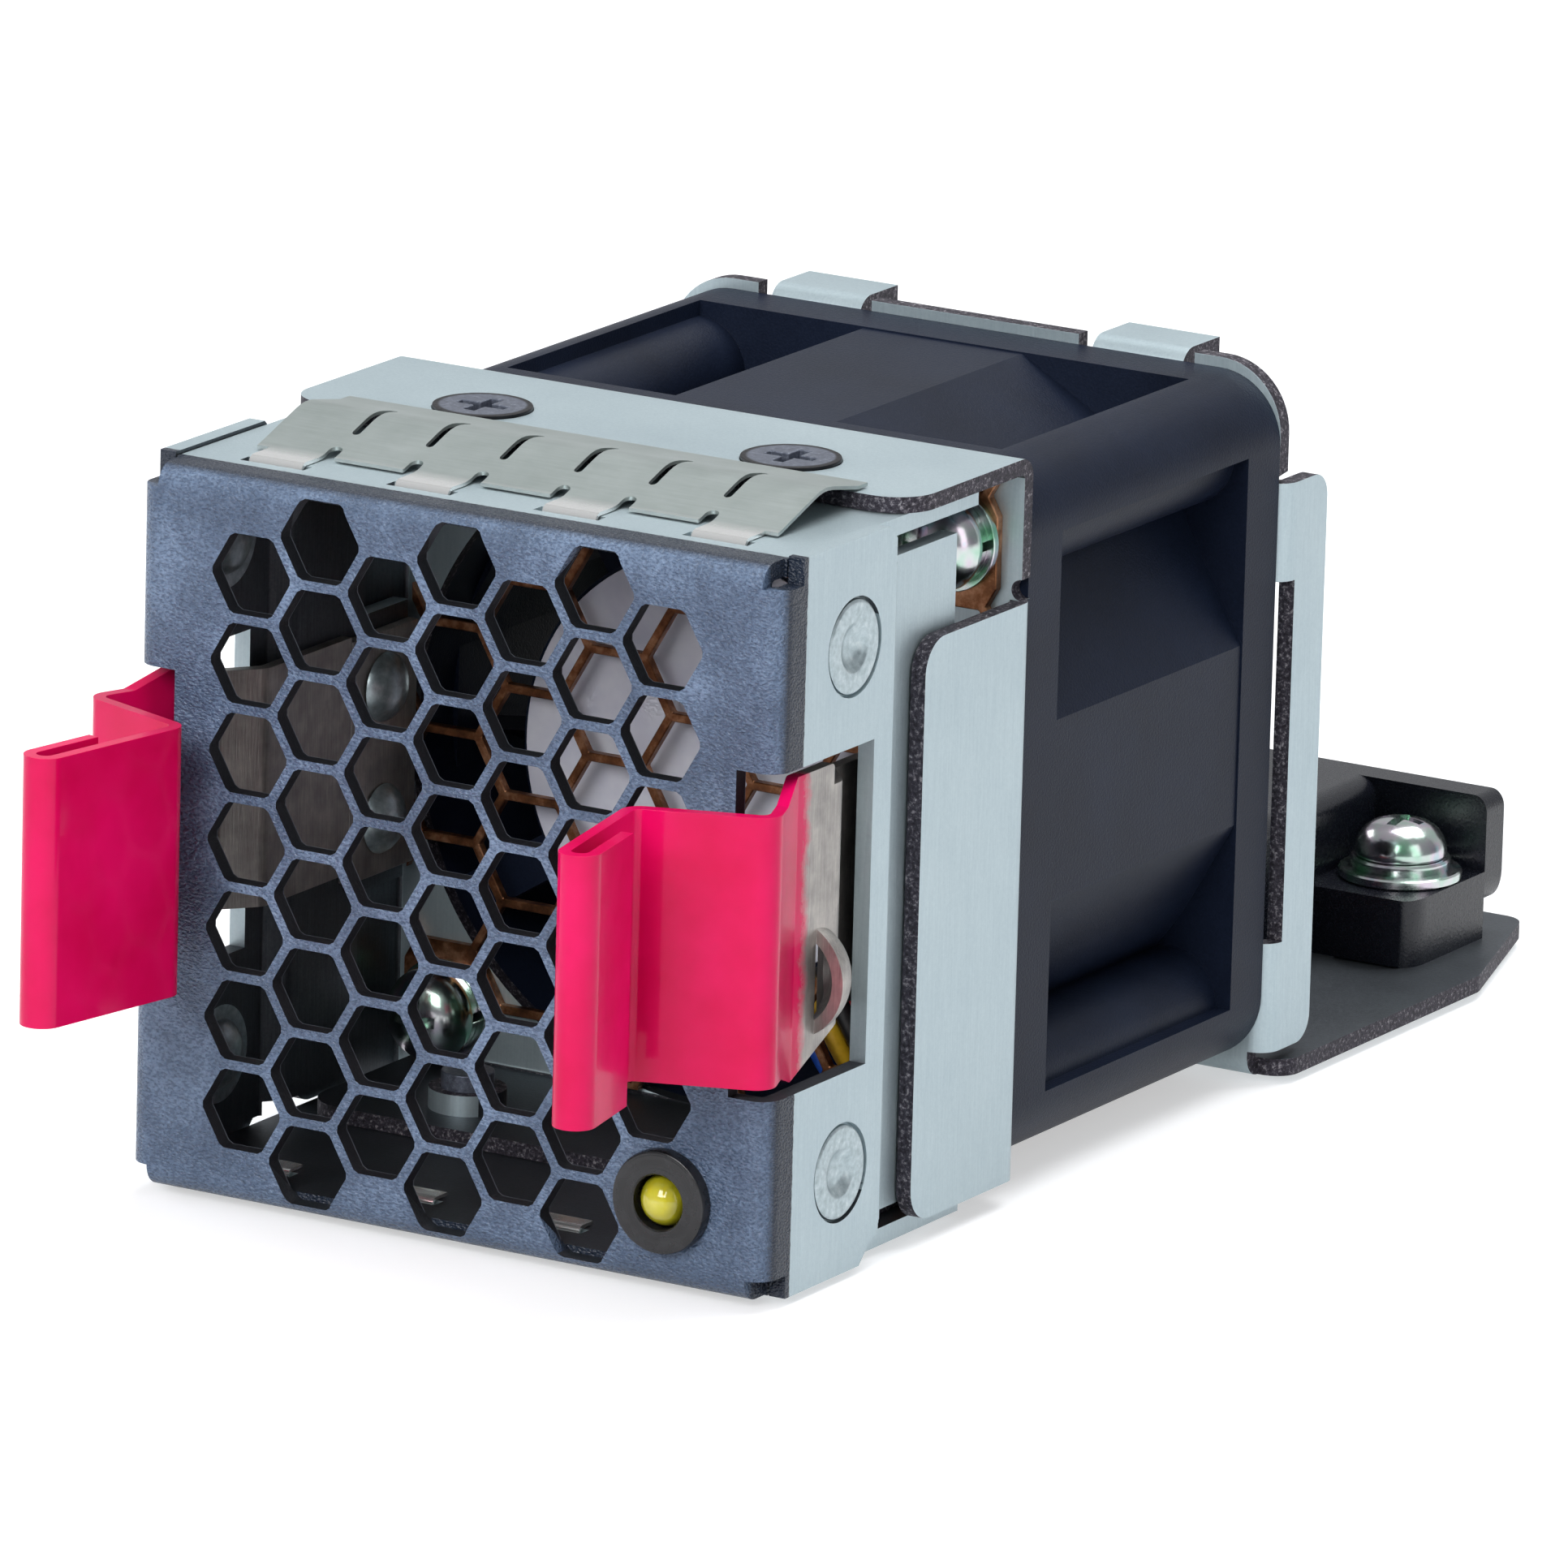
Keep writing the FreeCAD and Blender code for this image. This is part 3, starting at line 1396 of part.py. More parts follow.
def lead_route(index):
    """Points of one lead: along the motor strut, down into the pocket, back to the connector."""
    angle = math.radians(lead_strut_angle)
    count = len(lead_colours)
    offset = ((count - 1) / 2 - index) * lead_pitch
    out = Vector(math.cos(angle), 0, math.sin(angle))
    across = Vector(-math.sin(angle), 0, math.cos(angle))
    origin = Vector(0, lead_y, fan_z) + across * offset
    low_x = lead_floor_x + (count - 1 - index) * lead_pitch
    entry_x = lead_entry_x + (count - 1 - index) * lead_entry_pitch
    pocket_y = fan_front + fan_flange
    bay_y = plate_rear + lead_bay_run
    return [
        origin + out * (base_radius + hole_clearance),
        origin + out * lead_bend_start,
        Vector(low_x, pocket_y, lead_floor_z),
        Vector(low_x, bay_y, lead_floor_z),
        Vector(entry_x, connector_front - lead_entry_run, lead_entry_z),
        Vector(entry_x, connector_front, lead_entry_z),
    ]


def lead_tube(points):
    """Round lead along straight runs joined by tangent arcs."""
    edges = []
    radii = []
    here = points[0]
    for before, corner, after in zip(points, points[1:], points[2:]):
        back = before - corner
        ahead = after - corner
        turn = math.pi - back.getAngle(ahead)
        run = lead_arc_share * min(back.Length, ahead.Length)
        radius = run / math.tan(turn / 2)
        back.normalize()
        ahead.normalize()
        first = corner + back * run
        last = corner + ahead * run
        inward = (back + ahead).normalize()
        middle = corner + inward * (radius / math.cos(turn / 2) - radius)
        edges.append(Part.LineSegment(here, first).toShape())
        edges.append(Part.Arc(first, middle, last).toShape())
        radii.append(round(radius, 1))
        here = last
    edges.append(Part.LineSegment(here, points[-1]).toShape())
    path = Part.Wire(edges)
    start = points[1] - points[0]
    ring = Part.Wire(Part.makeCircle(lead_radius, points[0], start))
    tube = path.makePipeShell([ring], True, False)
    ideal = math.pi * lead_radius ** 2 * path.Length
    print("lead radii", radii, "length", round(path.Length, 1))
    print("volume against an ideal tube", round(tube.Volume / ideal, 4))
    return tube


def export(name, shape):
    """Move a finished piece to the tray's own origin and write it out."""
    placed = shape.copy()
    placed.translate(Vector(0, -middle_y, -ground_z))
    placed.exportStep(os.path.join("parts", name + ".step"))


export("front_cover", front_cover())
export("flush_rivets_right", group(press_rivets()))
export("flush_rivets_left", group([mirrored(rivet) for rivet in press_rivets()]))
export("top_gasket_strip", top_gasket_strip())
export("bottom_gasket_strip", bottom_gasket_strip())
export("led_bezel", led_bezel())
export("led_lamp", led_lamp())
export("led_legs", led_legs())
export("right_latch_arm", latch_arm())
export("left_latch_arm", mirrored(latch_arm()))
export("right_latch_leaf", latch_leaf())
export("left_latch_leaf", mirrored(latch_leaf()))
export("latch_rivets_right", group(latch_rivets()))
export("latch_rivets_left", group([mirrored(rivet) for rivet in latch_rivets()]))
export("mid_bracket", mid_bracket())
export("inner_guard", inner_guard())
export("top_plate_screws", group(on_top(plate_screw())))
export("bottom_plate_screws", group(underneath(plate_screw())))
export("front_fan_screws", front_fan_screws())
export("front_lock_washers", front_lock_washers())
export("front_flat_washers", front_flat_washers())
export("fan_frame", fan_frame())
export("fan_label", fan_label())
export("bearing_sleeve", bearing_sleeve())
export("front_bearing", bearing(front_bearing_y))
export("rear_bearing", bearing(rear_bearing_y))
export("fan_shaft", fan_shaft())
export("shaft_clip", shaft_clip())
export("preload_washer", preload_washer())
export("brass_boss", brass_boss())
export("rotor_yoke", rotor_yoke())
export("magnet_ring", magnet_ring())
export("stator_core", stator_core())
export("stator_coils", stator_coils())
export("motor_board", motor_board())
export("fan_rotor", fan_rotor())
export("rear_bracket", rear_bracket())
export("rear_fan_screws", rear_fan_screws())
export("connector_body", connector_body())
export("connector_contacts", connector_contacts())
export("connector_screws", connector_screws())
export("connector_washers", connector_washers())
export("connector_nuts", connector_nuts())
for index, colour in enumerate(lead_colours):
    export("fan_lead_" + colour, lead_tube(lead_route(index)))
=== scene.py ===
import math

import bmesh
import bpy
from mathutils import Matrix, Vector
from mathutils.bvhtree import BVHTree


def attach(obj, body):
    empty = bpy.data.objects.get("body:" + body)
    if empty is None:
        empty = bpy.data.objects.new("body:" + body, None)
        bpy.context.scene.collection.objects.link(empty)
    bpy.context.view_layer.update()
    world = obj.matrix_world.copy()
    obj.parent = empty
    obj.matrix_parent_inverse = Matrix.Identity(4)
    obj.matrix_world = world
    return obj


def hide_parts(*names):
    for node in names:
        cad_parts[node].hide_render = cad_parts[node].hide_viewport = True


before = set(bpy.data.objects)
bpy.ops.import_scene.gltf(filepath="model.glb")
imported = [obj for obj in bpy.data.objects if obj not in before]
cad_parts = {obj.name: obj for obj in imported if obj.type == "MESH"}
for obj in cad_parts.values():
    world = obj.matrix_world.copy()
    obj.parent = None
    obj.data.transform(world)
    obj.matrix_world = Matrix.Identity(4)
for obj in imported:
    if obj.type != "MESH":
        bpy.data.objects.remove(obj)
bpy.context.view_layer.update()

# Studio floor and light
# A white sweep of card under and behind the tray, lit by a pale room and four soft boxes.
# The card shows white to the camera and still takes the tray's shadow.


class Wire:
    """An output of a shader node. Sums, products and powers of wires add Math nodes."""

    def __init__(self, finish, socket):
        self.finish = finish
        self.socket = socket

    def joined(self, operation, first, second=0.0, clamp=False):
        settings = {"operation": operation, "use_clamp": clamp}
        return self.finish.node("ShaderNodeMath", settings, {0: first, 1: second})

    def __add__(self, other):
        return self.joined("ADD", self, other)

    def __radd__(self, other):
        return self.joined("ADD", other, self)

    def __sub__(self, other):
        return self.joined("SUBTRACT", self, other)

    def __rsub__(self, other):
        return self.joined("SUBTRACT", other, self)

    def __mul__(self, other):
        return self.joined("MULTIPLY", self, other)

    def __rmul__(self, other):
        return self.joined("MULTIPLY", other, self)

    def __pow__(self, other):
        return self.joined("POWER", self, other)

    def __rpow__(self, other):
        return self.joined("POWER", other, self)

    def clamped(self):
        return self.joined("ADD", self, 0.0, True)

    def size(self):
        return self.joined("ABSOLUTE", self)

    def wave(self):
        return self.joined("SINE", self)


class Finish:
    """A material or world being made: node() adds any shader node to it."""

    def __init__(self, owner):
        self.owner = owner
        owner.use_nodes = True
        self.tree = owner.node_tree

    def put(self, socket, value):
        if isinstance(value, Wire):
            self.tree.links.new(value.socket, socket)
        else:
            socket.default_value = value

    def node(self, kind, settings=None, sockets=None, output=0):
        made = self.tree.nodes.new(kind)
        for name, value in (settings or {}).items():
            if name == "stops":
                elements = made.color_ramp.elements
                while len(elements) < len(value):
                    elements.new(1.0)
                for element, (place, colour) in zip(elements, value):
                    element.position = place
                    element.color = colour
            else:
                setattr(made, name, value)
        for name, value in (sockets or {}).items():
            self.put(made.inputs[name], value)
        return Wire(self, made.outputs[output])

    def place(self):
        """Place in the frame, in millimetres."""
        raw = self.node("ShaderNodeTexCoord", output="Object")
        return self.node("ShaderNodeVectorMath", {"operation": "SCALE"}, {0: raw, "Scale": 1000.0})

    def part(self, place, index):
        """The x, y or z of a place, numbered from 0."""
        return self.node("ShaderNodeSeparateXYZ", sockets={0: place}, output=index)

    def stretched(self, place, x, y, z):
        return self.node("ShaderNodeVectorMath", {"operation": "MULTIPLY"}, {0: place, 1: (x, y, z)})

    def noise(self, place, scale, detail=3.0, roughness=0.5):
        sockets = {"Vector": place, "Scale": scale, "Detail": detail, "Roughness": roughness}
        return self.node("ShaderNodeTexNoise", sockets=sockets)

    def mix(self, factor, first, second):
        """Colour between two colours."""
        return self.node("ShaderNodeMix", {"data_type": "RGBA"}, {0: factor, 6: first, 7: second}, 2)

    def ramp(self, factor, stops):
        return self.node("ShaderNodeValToRGB", {"stops": stops}, {"Fac": factor})

    def bump(self, height, distance, strength=1.0):
        """Relief whose height of one stands for a distance in millimetres."""
        sockets = {"Height": height, "Distance": distance / 1000, "Strength": strength}
        return self.node("ShaderNodeBump", sockets=sockets)

    def surface(self, **values):
        """Set the main shader's sockets, given with underscores for spaces."""
        shader = self.tree.nodes["Principled BSDF"]
        for name, value in values.items():
            self.put(shader.inputs[name.replace("_", " ")], value)


def new_finish(name):
    return Finish(bpy.data.materials.new(name))


def shade(red, green, blue):
    """Colour of 0 to 255 as seen on a screen, as the shader's own numbers."""
    linear = []
    for part in (red, green, blue):
        part = part / 255
        linear.append(part / 12.92 if part <= 0.04045 else ((part + 0.055) / 1.055) ** 2.4)
    return (*linear, 1.0)


card = new_finish("white card")
to_camera = card.node("ShaderNodeLightPath", output="Is Camera Ray")
to_gloss = card.node("ShaderNodeLightPath", output="Is Glossy Ray")
glow = card.mix((to_camera * 0.5 + to_gloss * 0.33).clamped(), (0, 0, 0, 1), (1, 1, 1, 1))
card.surface(
    Base_Color=shade(206, 207, 209),
    Roughness=0.9,
    Specular_IOR_Level=0.1,
    Emission_Color=glow,
    Emission_Strength=1.0,
)

sweep_half_width = 2.6
sweep_front = -2.4
sweep_bend = 1.6
sweep_radius = 0.8
sweep_top = 3.0
sweep_steps = 12
sweep_line = [(sweep_front, 0.0)]  # (y, z) in metres
for step in range(sweep_steps + 1):
    turn = math.radians(step * 90 / sweep_steps)
    along = sweep_bend + sweep_radius * math.sin(turn)
    sweep_line.append((along, sweep_radius * (1 - math.cos(turn))))
sweep_line.append((sweep_bend + sweep_radius, sweep_top))
sweep_mesh = bmesh.new()
rows = []
for y, z in sweep_line:
    rows.append([sweep_mesh.verts.new((x, y, z)) for x in (-sweep_half_width, sweep_half_width)])
for (a, b), (c, d) in zip(rows, rows[1:]):
    sweep_mesh.faces.new((a, b, d, c)).smooth = True
sweep_data = bpy.data.meshes.new("white sweep")
sweep_mesh.to_mesh(sweep_data)
sweep = bpy.data.objects.new("white_sweep", sweep_data)
sweep_data.materials.append(card.owner)
bpy.context.scene.collection.objects.link(sweep)

room = Finish(bpy.data.worlds.new("pale room"))
bpy.context.scene.world = room.owner
direction = room.node("ShaderNodeTexCoord", output="Generated")
height = room.node("ShaderNodeSeparateXYZ", sockets={0: direction}, output=2)
sky = room.ramp(height * 0.5 + 0.5, [
    (0.0, (0.14, 0.15, 0.16, 1.0)),
    (0.5, (0.18, 0.19, 0.21, 1.0)),
    (1.0, (0.40, 0.41, 0.42, 1.0)),
])
camera_ray = room.node("ShaderNodeLightPath", output="Is Camera Ray")
room_colour = room.mix(camera_ray, sky, (1, 1, 1, 1))
room.put(room.tree.nodes["Background"].inputs["Color"], room_colour)
room.put(room.tree.nodes["Background"].inputs["Strength"], 1.0)


def soft_box(name, place, aim, width, height, power):
    lamp = bpy.data.lights.new(name, "AREA")
    lamp.shape = "RECTANGLE"
    lamp.size = width
    lamp.size_y = height
    lamp.energy = power
    stand = bpy.data.objects.new(name, lamp)
    stand.location = place
    stand.rotation_euler = (Vector(aim) - Vector(place)).to_track_quat("-Z", "Y").to_euler()
    bpy.context.scene.collection.objects.link(stand)


soft_box("key", (0.04, -0.75, 0.45), (0, 0, 0.02), 0.5, 0.4, 5.6)
soft_box("right fill", (0.75, -0.25, 0.3), (0, 0, 0.02), 0.35, 0.6, 0.9)
soft_box("top", (0.1, 0.25, 0.8), (0, 0, 0.02), 0.6, 0.6, 5.8)
soft_box("left fill", (-0.8, 0.1, 0.35), (0, 0, 0.02), 0.35, 0.5, 1.6)

# Camera
# A long lens, 0.9 m from the tray, a little above it and to its right, as in the photograph.
camera_azimuth = math.radians(30.567)
camera_elevation = math.radians(14.75)
camera_roll = math.radians(1.55)
camera_distance = 904.224
camera_right = 18.126
camera_up = 5.311
camera_focus = 20566
picture_width = 1932
sensor_width = 36.0
middle_depth = 38.21125
middle_height = 21.0


def spot(x, y, z):
    """Point in mm from the middle of the tray's front face, in the frame's metres."""
    return Vector((x, y - middle_depth, z + middle_height)) / 1000


back = Vector((
    math.sin(camera_azimuth) * math.cos(camera_elevation),
    -math.cos(camera_azimuth) * math.cos(camera_elevation),
    math.sin(camera_elevation),
))
level = Vector((math.cos(camera_azimuth), math.sin(camera_azimuth), 0))
upright = back.cross(level)
right = level * math.cos(camera_roll) + upright * math.sin(camera_roll)
up = upright * math.cos(camera_roll) - level * math.sin(camera_roll)
lens = bpy.data.cameras.new("long lens")
lens.sensor_fit = "HORIZONTAL"
lens.sensor_width = sensor_width
lens.lens = camera_focus * sensor_width / picture_width
lens.clip_start = 0.05
lens.clip_end = 20.0
camera = bpy.data.objects.new("camera", lens)
eye = spot(*(back * camera_distance + right * camera_right + up * camera_up))
turned = Matrix((right, up, back)).transposed().to_4x4()
camera.matrix_world = Matrix.Translation(eye) @ turned
bpy.context.scene.collection.objects.link(camera)
bpy.context.scene.camera = camera

# Front cover
# One folded sheet of galvanised steel with a honeycomb front, screwed to the middle bracket.
# The front and the first 2.6 mm of its flanges are powder coated slate grey, masked along a
# straight line; the rest is bare.


def new_piece(name, mesh):
    data = bpy.data.meshes.new(name)
    mesh.to_mesh(data)
    mesh.free()
    piece = bpy.data.objects.new(name, data)
    bpy.context.scene.collection.objects.link(piece)
    return piece


def eased(node, name, width, segments=2, choose=None, sharp=35.0):
    """A node's shape with its flat faces joined up and its edges rounded.

    Choose picks the number of each face's material.
    """
    mesh = bmesh.new()
    mesh.from_mesh(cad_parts[node].data)
    bmesh.ops.remove_doubles(mesh, verts=mesh.verts, dist=2e-6)
    mesh.normal_update()
    for face in mesh.faces:
        face.material_index = 0
        face.smooth = True
    if choose:
        tree = BVHTree.FromBMesh(mesh)
        for face in mesh.faces:
            face.material_index = choose(face, tree)
    bmesh.ops.dissolve_limit(
        mesh, angle_limit=math.radians(0.5), verts=mesh.verts, edges=mesh.edges, delimit={"MATERIAL"}
    )
    for edge in mesh.edges:
        edge.smooth = edge.calc_face_angle(0.0) < math.radians(sharp)
    piece = new_piece(name, mesh)
    rounding = piece.modifiers.new("rounded edges", "BEVEL")
    rounding.width = width / 1000
    rounding.segments = segments
    rounding.limit_method = "ANGLE"
    rounding.angle_limit = math.radians(sharp)
    rounding.harden_normals = True
    return piece


def placed(piece, body, slot, finishes, *nodes):
    """Give a piece its finishes and its moving body, and hide the nodes it stands for; its slot is
    not used.
    """
    for finish in finishes:
        piece.data.materials.append(finish.owner)
    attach(piece, body)
    if nodes:
        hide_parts(*nodes)
    return piece


def galvanised_look(finish, place, dark, light):
    """Colour, roughness and relief of zinc-coated sheet, with clouds, rolling lines and scuffs."""
    cloud = finish.noise(place, 0.12, 3.0, 0.5)
    fine = finish.noise(place, 5.0, 4.0, 0.7)
    lines = finish.noise(finish.stretched(place, 6.0, 6.0, 0.3), 1.2, 3.0, 0.6)
    tone = cloud * 0.3 + fine * 0.35 + lines * 0.35
    colour = finish.ramp(tone, [(0.30, dark), (0.70, light)])
    roughness = 0.36 + tone * 0.2
    relief = fine * 0.6 + lines * 0.4
    return colour, roughness, relief


def galvanised_finish(name, dark, light, metallic):
    finish = new_finish(name)
    place = finish.place()
    colour, roughness, relief = galvanised_look(finish, place, dark, light)
    finish.surface(
        Base_Color=colour,
        Roughness=roughness,
        Metallic=metallic,
        Normal=finish.bump(relief, 0.03, 0.6),
    )
    return finish


def cut_edge_finish(name):
    """Sheared steel: brown grey, with bright torn specks."""
    finish = new_finish(name)
    place = finish.place()
    speck = finish.noise(place, 4.0, 4.0, 0.75)
    finish.surface(
        Base_Color=finish.ramp(speck, [
            (0.36, shade(30, 28, 34)),
            (0.54, shade(66, 62, 72)),
            (0.70, shade(168, 164, 168)),
        ]),
        Roughness=0.35 + speck * 0.4,
        Metallic=0.6,
        Normal=finish.bump(speck, 0.15, 0.8),
    )
    return finish


paint_edge = -35.56
flange_start = -37.75
painted_cover = new_finish("slate powder coat over galvanised steel")
place = painted_cover.place()
y = painted_cover.part(place, 1)
zinc_dark = shade(170, 187, 194)
zinc_light = shade(196, 210, 214)
zinc_metallic = 0.75
steel_colour, steel_roughness, steel_relief = galvanised_look(
    painted_cover, place, zinc_dark, zinc_light
)
ragged = painted_cover.noise(place, 3.0) * 0.16
coated = ((paint_edge + 0.08 - y - ragged) * 14.0).clamped()
peel = painted_cover.noise(painted_cover.stretched(place, 0.7, 1.0, 1.2), 6.5, 1.0, 0.4)
grit = painted_cover.noise(place, 16.0, 2.0, 0.5)
coat_tone = painted_cover.noise(place, 0.25, 3.0) * 0.45 + peel * 0.35 + grit * 0.2
front_coat = painted_cover.ramp(coat_tone, [
    (0.32, shade(56, 71, 94)),
    (0.50, shade(80, 98, 124)),
    (0.68, shade(124, 145, 174)),
])
# Painted shade: the coat darkens from the front's fold back along the painted flanges.
flange_shade = ((y - flange_start) * 2.2).clamped()
coat_with_flange_shade = painted_cover.mix(flange_shade, front_coat, shade(34, 43, 58))
coat_relief = peel * 0.8 + grit * 0.2
cover_relief = coated * (coat_relief + 0.2) + (1 - coated) * steel_relief * 0.15
painted_cover.surface(
    Base_Color=painted_cover.mix(coated, steel_colour, coat_with_flange_shade),
    Roughness=coated * (0.22 + peel * 0.12) + (1 - coated) * steel_roughness,
    Metallic=(1 - coated) * zinc_metallic,
    Normal=painted_cover.bump(cover_relief, 0.19),
)
# The hexagons' walls are near black, painted shade in the holes, and turn lighter at their rear lip,
# a painted highlight.
hex_wall_shade = new_finish("thin powder coat on the hexagons' walls")
place = hex_wall_shade.place()
y = hex_wall_shade.part(place, 1)
streak = hex_wall_shade.noise(place, 4.0, 3.0, 0.6)
lip_highlight_start = -37.3
lightened = ((y - lip_highlight_start) * 12.0).clamped()
hex_wall_shade.surface(
    Base_Color=hex_wall_shade.mix(lightened, shade(20, 22, 28), shade(120, 126, 136)),
    Roughness=0.5 + streak * 0.2,
    Normal=hex_wall_shade.bump(streak, 0.08, 0.6),
)
sheared = cut_edge_finish("sheared steel edge")
steel = galvanised_finish("galvanised steel", zinc_dark, zinc_light, zinc_metallic)
# Painted shade: faces that look in toward the middle, and the nuts under the plug, take a darker
# galvanised steel.
inside_shade_dark = shade(62, 66, 71)
inside_shade_light = shade(104, 110, 116)
inside_shaded_steel = galvanised_finish("galvanised steel darkened with painted shade inside", inside_shade_dark, inside_shade_light, 0.9)
front_middle = spot(0, 0, 0)
front_depth = 0.0011
honeycomb_reach = 0.0185


def faces_inside(face):
    """Whether a face of folded sheet looks in, toward the middle line of the tray."""
    centre = face.calc_center_median() - front_middle
    inward = Vector((-centre.x, 0.0, -centre.z)).normalized()
    return face.normal.dot(inward) > 0.3


def cover_face(face, tree):
    """The hexagons' walls get painted shade and a painted highlight, and what looks in gets painted
    shade.
    """
    centre = face.calc_center_median() - front_middle
    in_front = centre.y < front_depth
    in_honeycomb = max(abs(centre.x), abs(centre.z)) < honeycomb_reach
    if in_front and in_honeycomb and abs(face.normal.y) < 0.5:
        return 1
    if faces_inside(face) or (in_front and face.normal.y > 0.5):
        return 2
    return 0


cover = eased("front_cover", "honeycomb_cover", 0.12, 2, cover_face)
placed(cover, "tray", "painted_front", [painted_cover, hex_wall_shade, inside_shaded_steel], "front_cover")

# Flush rivets
# Turned steel studs pressed into each side flange and ground level with it, with a ring and a
# dimple left by the punch, and a domed tail inside.
lathe_segments = 64
lathe_sharp = 40


def lathe(name, profile, centre, axis):
    """Piece turned from a profile of (radius, height) in mm, set at a centre along an axis."""
    mesh = bmesh.new()
    rings = []
    for radius, high in profile:
        if radius == 0:
            rings.append([mesh.verts.new((0, 0, high / 1000))])
            continue
        ring = []
        for index in range(lathe_segments):
            angle = index * 2 * math.pi / lathe_segments
            corner = Vector((radius * math.cos(angle), radius * math.sin(angle), high))
            ring.append(mesh.verts.new(corner / 1000))
        rings.append(ring)
    for low, high in zip(rings, rings[1:]):
        for index in range(lathe_segments):
            after = (index + 1) % lathe_segments
            if len(low) == 1:
                corners = (low[0], high[after], high[index])
            elif len(high) == 1:
                corners = (low[index], low[after], high[0])
            else:
                corners = (low[index], low[after], high[after], high[index])
            mesh.faces.new(corners).smooth = True
    bmesh.ops.recalc_face_normals(mesh, faces=mesh.faces)
    for edge in mesh.edges:
        edge.smooth = edge.calc_face_angle(0.0) < math.radians(lathe_sharp)
    turn = Vector((0, 0, 1)).rotation_difference(Vector(axis)).to_matrix().to_4x4()
    mesh.transform(Matrix.Translation(centre) @ turn)
    return new_piece(name, mesh)


def together(name, parts):
    """Several like pieces as one."""
    mesh = bmesh.new()
    for part in parts:
        mesh.from_mesh(part.data)
        bpy.data.objects.remove(part)
    return new_piece(name, mesh)


turned_steel = new_finish("turned bright steel")
place = turned_steel.place()
rub = turned_steel.noise(place, 2.2, 4.0, 0.6)
turned_steel.surface(
    Base_Color=turned_steel.ramp(rub, [
        (0.30, shade(152, 166, 170)),
        (0.55, shade(178, 192, 196)),
        (0.75, shade(204, 214, 216)),
    ]),
    Roughness=0.22 + rub * 0.22,
    Metallic=0.8,
    Normal=turned_steel.bump(rub, 0.015, 0.5),
)
flush_rivet_profile = [
    (0, -0.42), (0.6, -0.4), (0.95, -0.32), (1.2, -0.17), (1.36, -0.04), (1.5, 0.0),
    (2.4, 0.0), (2.52, -0.02), (2.6, -0.08), (2.64, -0.3), (2.8, -0.34), (2.8, -1.0),
    (2.0, -1.0), (1.96, -1.12), (1.75, -1.42), (1.35, -1.68), (0.8, -1.84), (0, -1.9),
]
cover_half_width = 20.5
flush_rivet_depth = 7.75
flush_rivet_heights = (-14.7, 14.7)
for side, name in ((1, "right"), (-1, "left")):
    studs = []
    for height in flush_rivet_heights:
        centre = spot(side * cover_half_width, flush_rivet_depth, height)
        studs.append(lathe("stud", flush_rivet_profile, centre, (side, 0, 0)))
    rivets = together("flush_studs_" + name, studs)
    placed(rivets, "tray", "galvanised", [turned_steel], "flush_rivets_" + name)

# Finger contact strips
# Thin plated spring strip clipped over the top and bottom flanges with four bent tabs. Its
# sloping fingers, parted by slits and notches, touch the bay and shield the gap round the tray.
spring_strip = new_finish("satin plated spring strip")
place = spring_strip.place()
y = spring_strip.part(place, 1)
grain = spring_strip.noise(spring_strip.stretched(place, 0.4, 6.0, 6.0), 1.0, 3.0, 0.6)
stain = spring_strip.noise(place, 0.3, 4.0, 0.6)
tab_shine_start = -32.0
# The front tabs turn nearly white and smoother.
lightened = ((tab_shine_start - y) * 0.8).clamped()
strip_colour = spring_strip.ramp(grain * 0.4 + stain * 0.6, [
    (0.30, shade(160, 169, 166)),
    (0.70, shade(180, 188, 186)),
])
spring_strip.surface(
    Base_Color=spring_strip.mix(lightened, strip_colour, shade(248, 248, 246)),
    Roughness=(1 - lightened) * (0.36 + grain * 0.1) + lightened * 0.16,
    Metallic=0.8,
    Normal=spring_strip.bump(grain, 0.01, 0.4),
)
strip_half_width = 16.6
strip_half_sheet = 0.1
strip_fingers = 7
strip_front = 5.9
tab_middles = (-14.1, -4.7, 4.7, 14.1)
tab_half_width = 1.7
slit_span = (8.3, 12.5)
slit_radius = 0.25
notch_span = (4.5, 7.0)
notch_radius = 0.4
notch_keep = 1.0
round_steps = 8
strip_clear = 0.5
strip_sharp = 35
opening_low = 19.0
opening_high = 22.8


def carve(piece, cutter):
    """Take a cutter's shape out of a piece."""
    tool = new_piece("tool", cutter)
    cut = piece.modifiers.new("cut", "BOOLEAN")
    cut.object = tool
    cut.solver = "EXACT"
    cut.use_self = True
    seen = piece.evaluated_get(bpy.context.evaluated_depsgraph_get())
    carved = bpy.data.meshes.new_from_object(seen)
    piece.modifiers.remove(cut)
    piece.data = carved
    bpy.data.objects.remove(tool)


def prism(mesh, ends):
    """Solid between two like outlines of points."""
    near, far = [[mesh.verts.new(point) for point in end] for end in ends]
    mesh.faces.new(near[::-1])
    mesh.faces.new(far)
    for index in range(len(near)):
        after = (index + 1) % len(near)
        mesh.faces.new((near[index], near[after], far[after], far[index]))


def opening(mesh, outline, more=0.0):
    """Cutter on an outline of (x, y) in mm, as high as the strip and a little more."""
    heights = (opening_low - more, opening_high + more)
    prism(mesh, [[spot(x, y, height) for x, y in outline] for height in heights])


def round_ended(x, front, rear, radius):
    """Outline of a slot along the tray with round ends."""
    outline = []
    for first, middle in ((180, front + radius), (0, rear - radius)):
        for step in range(round_steps + 1):
            turn = math.radians(first + 180 * step / round_steps)
            outline.append((x + radius * math.cos(turn), middle + radius * math.sin(turn)))
    return outline


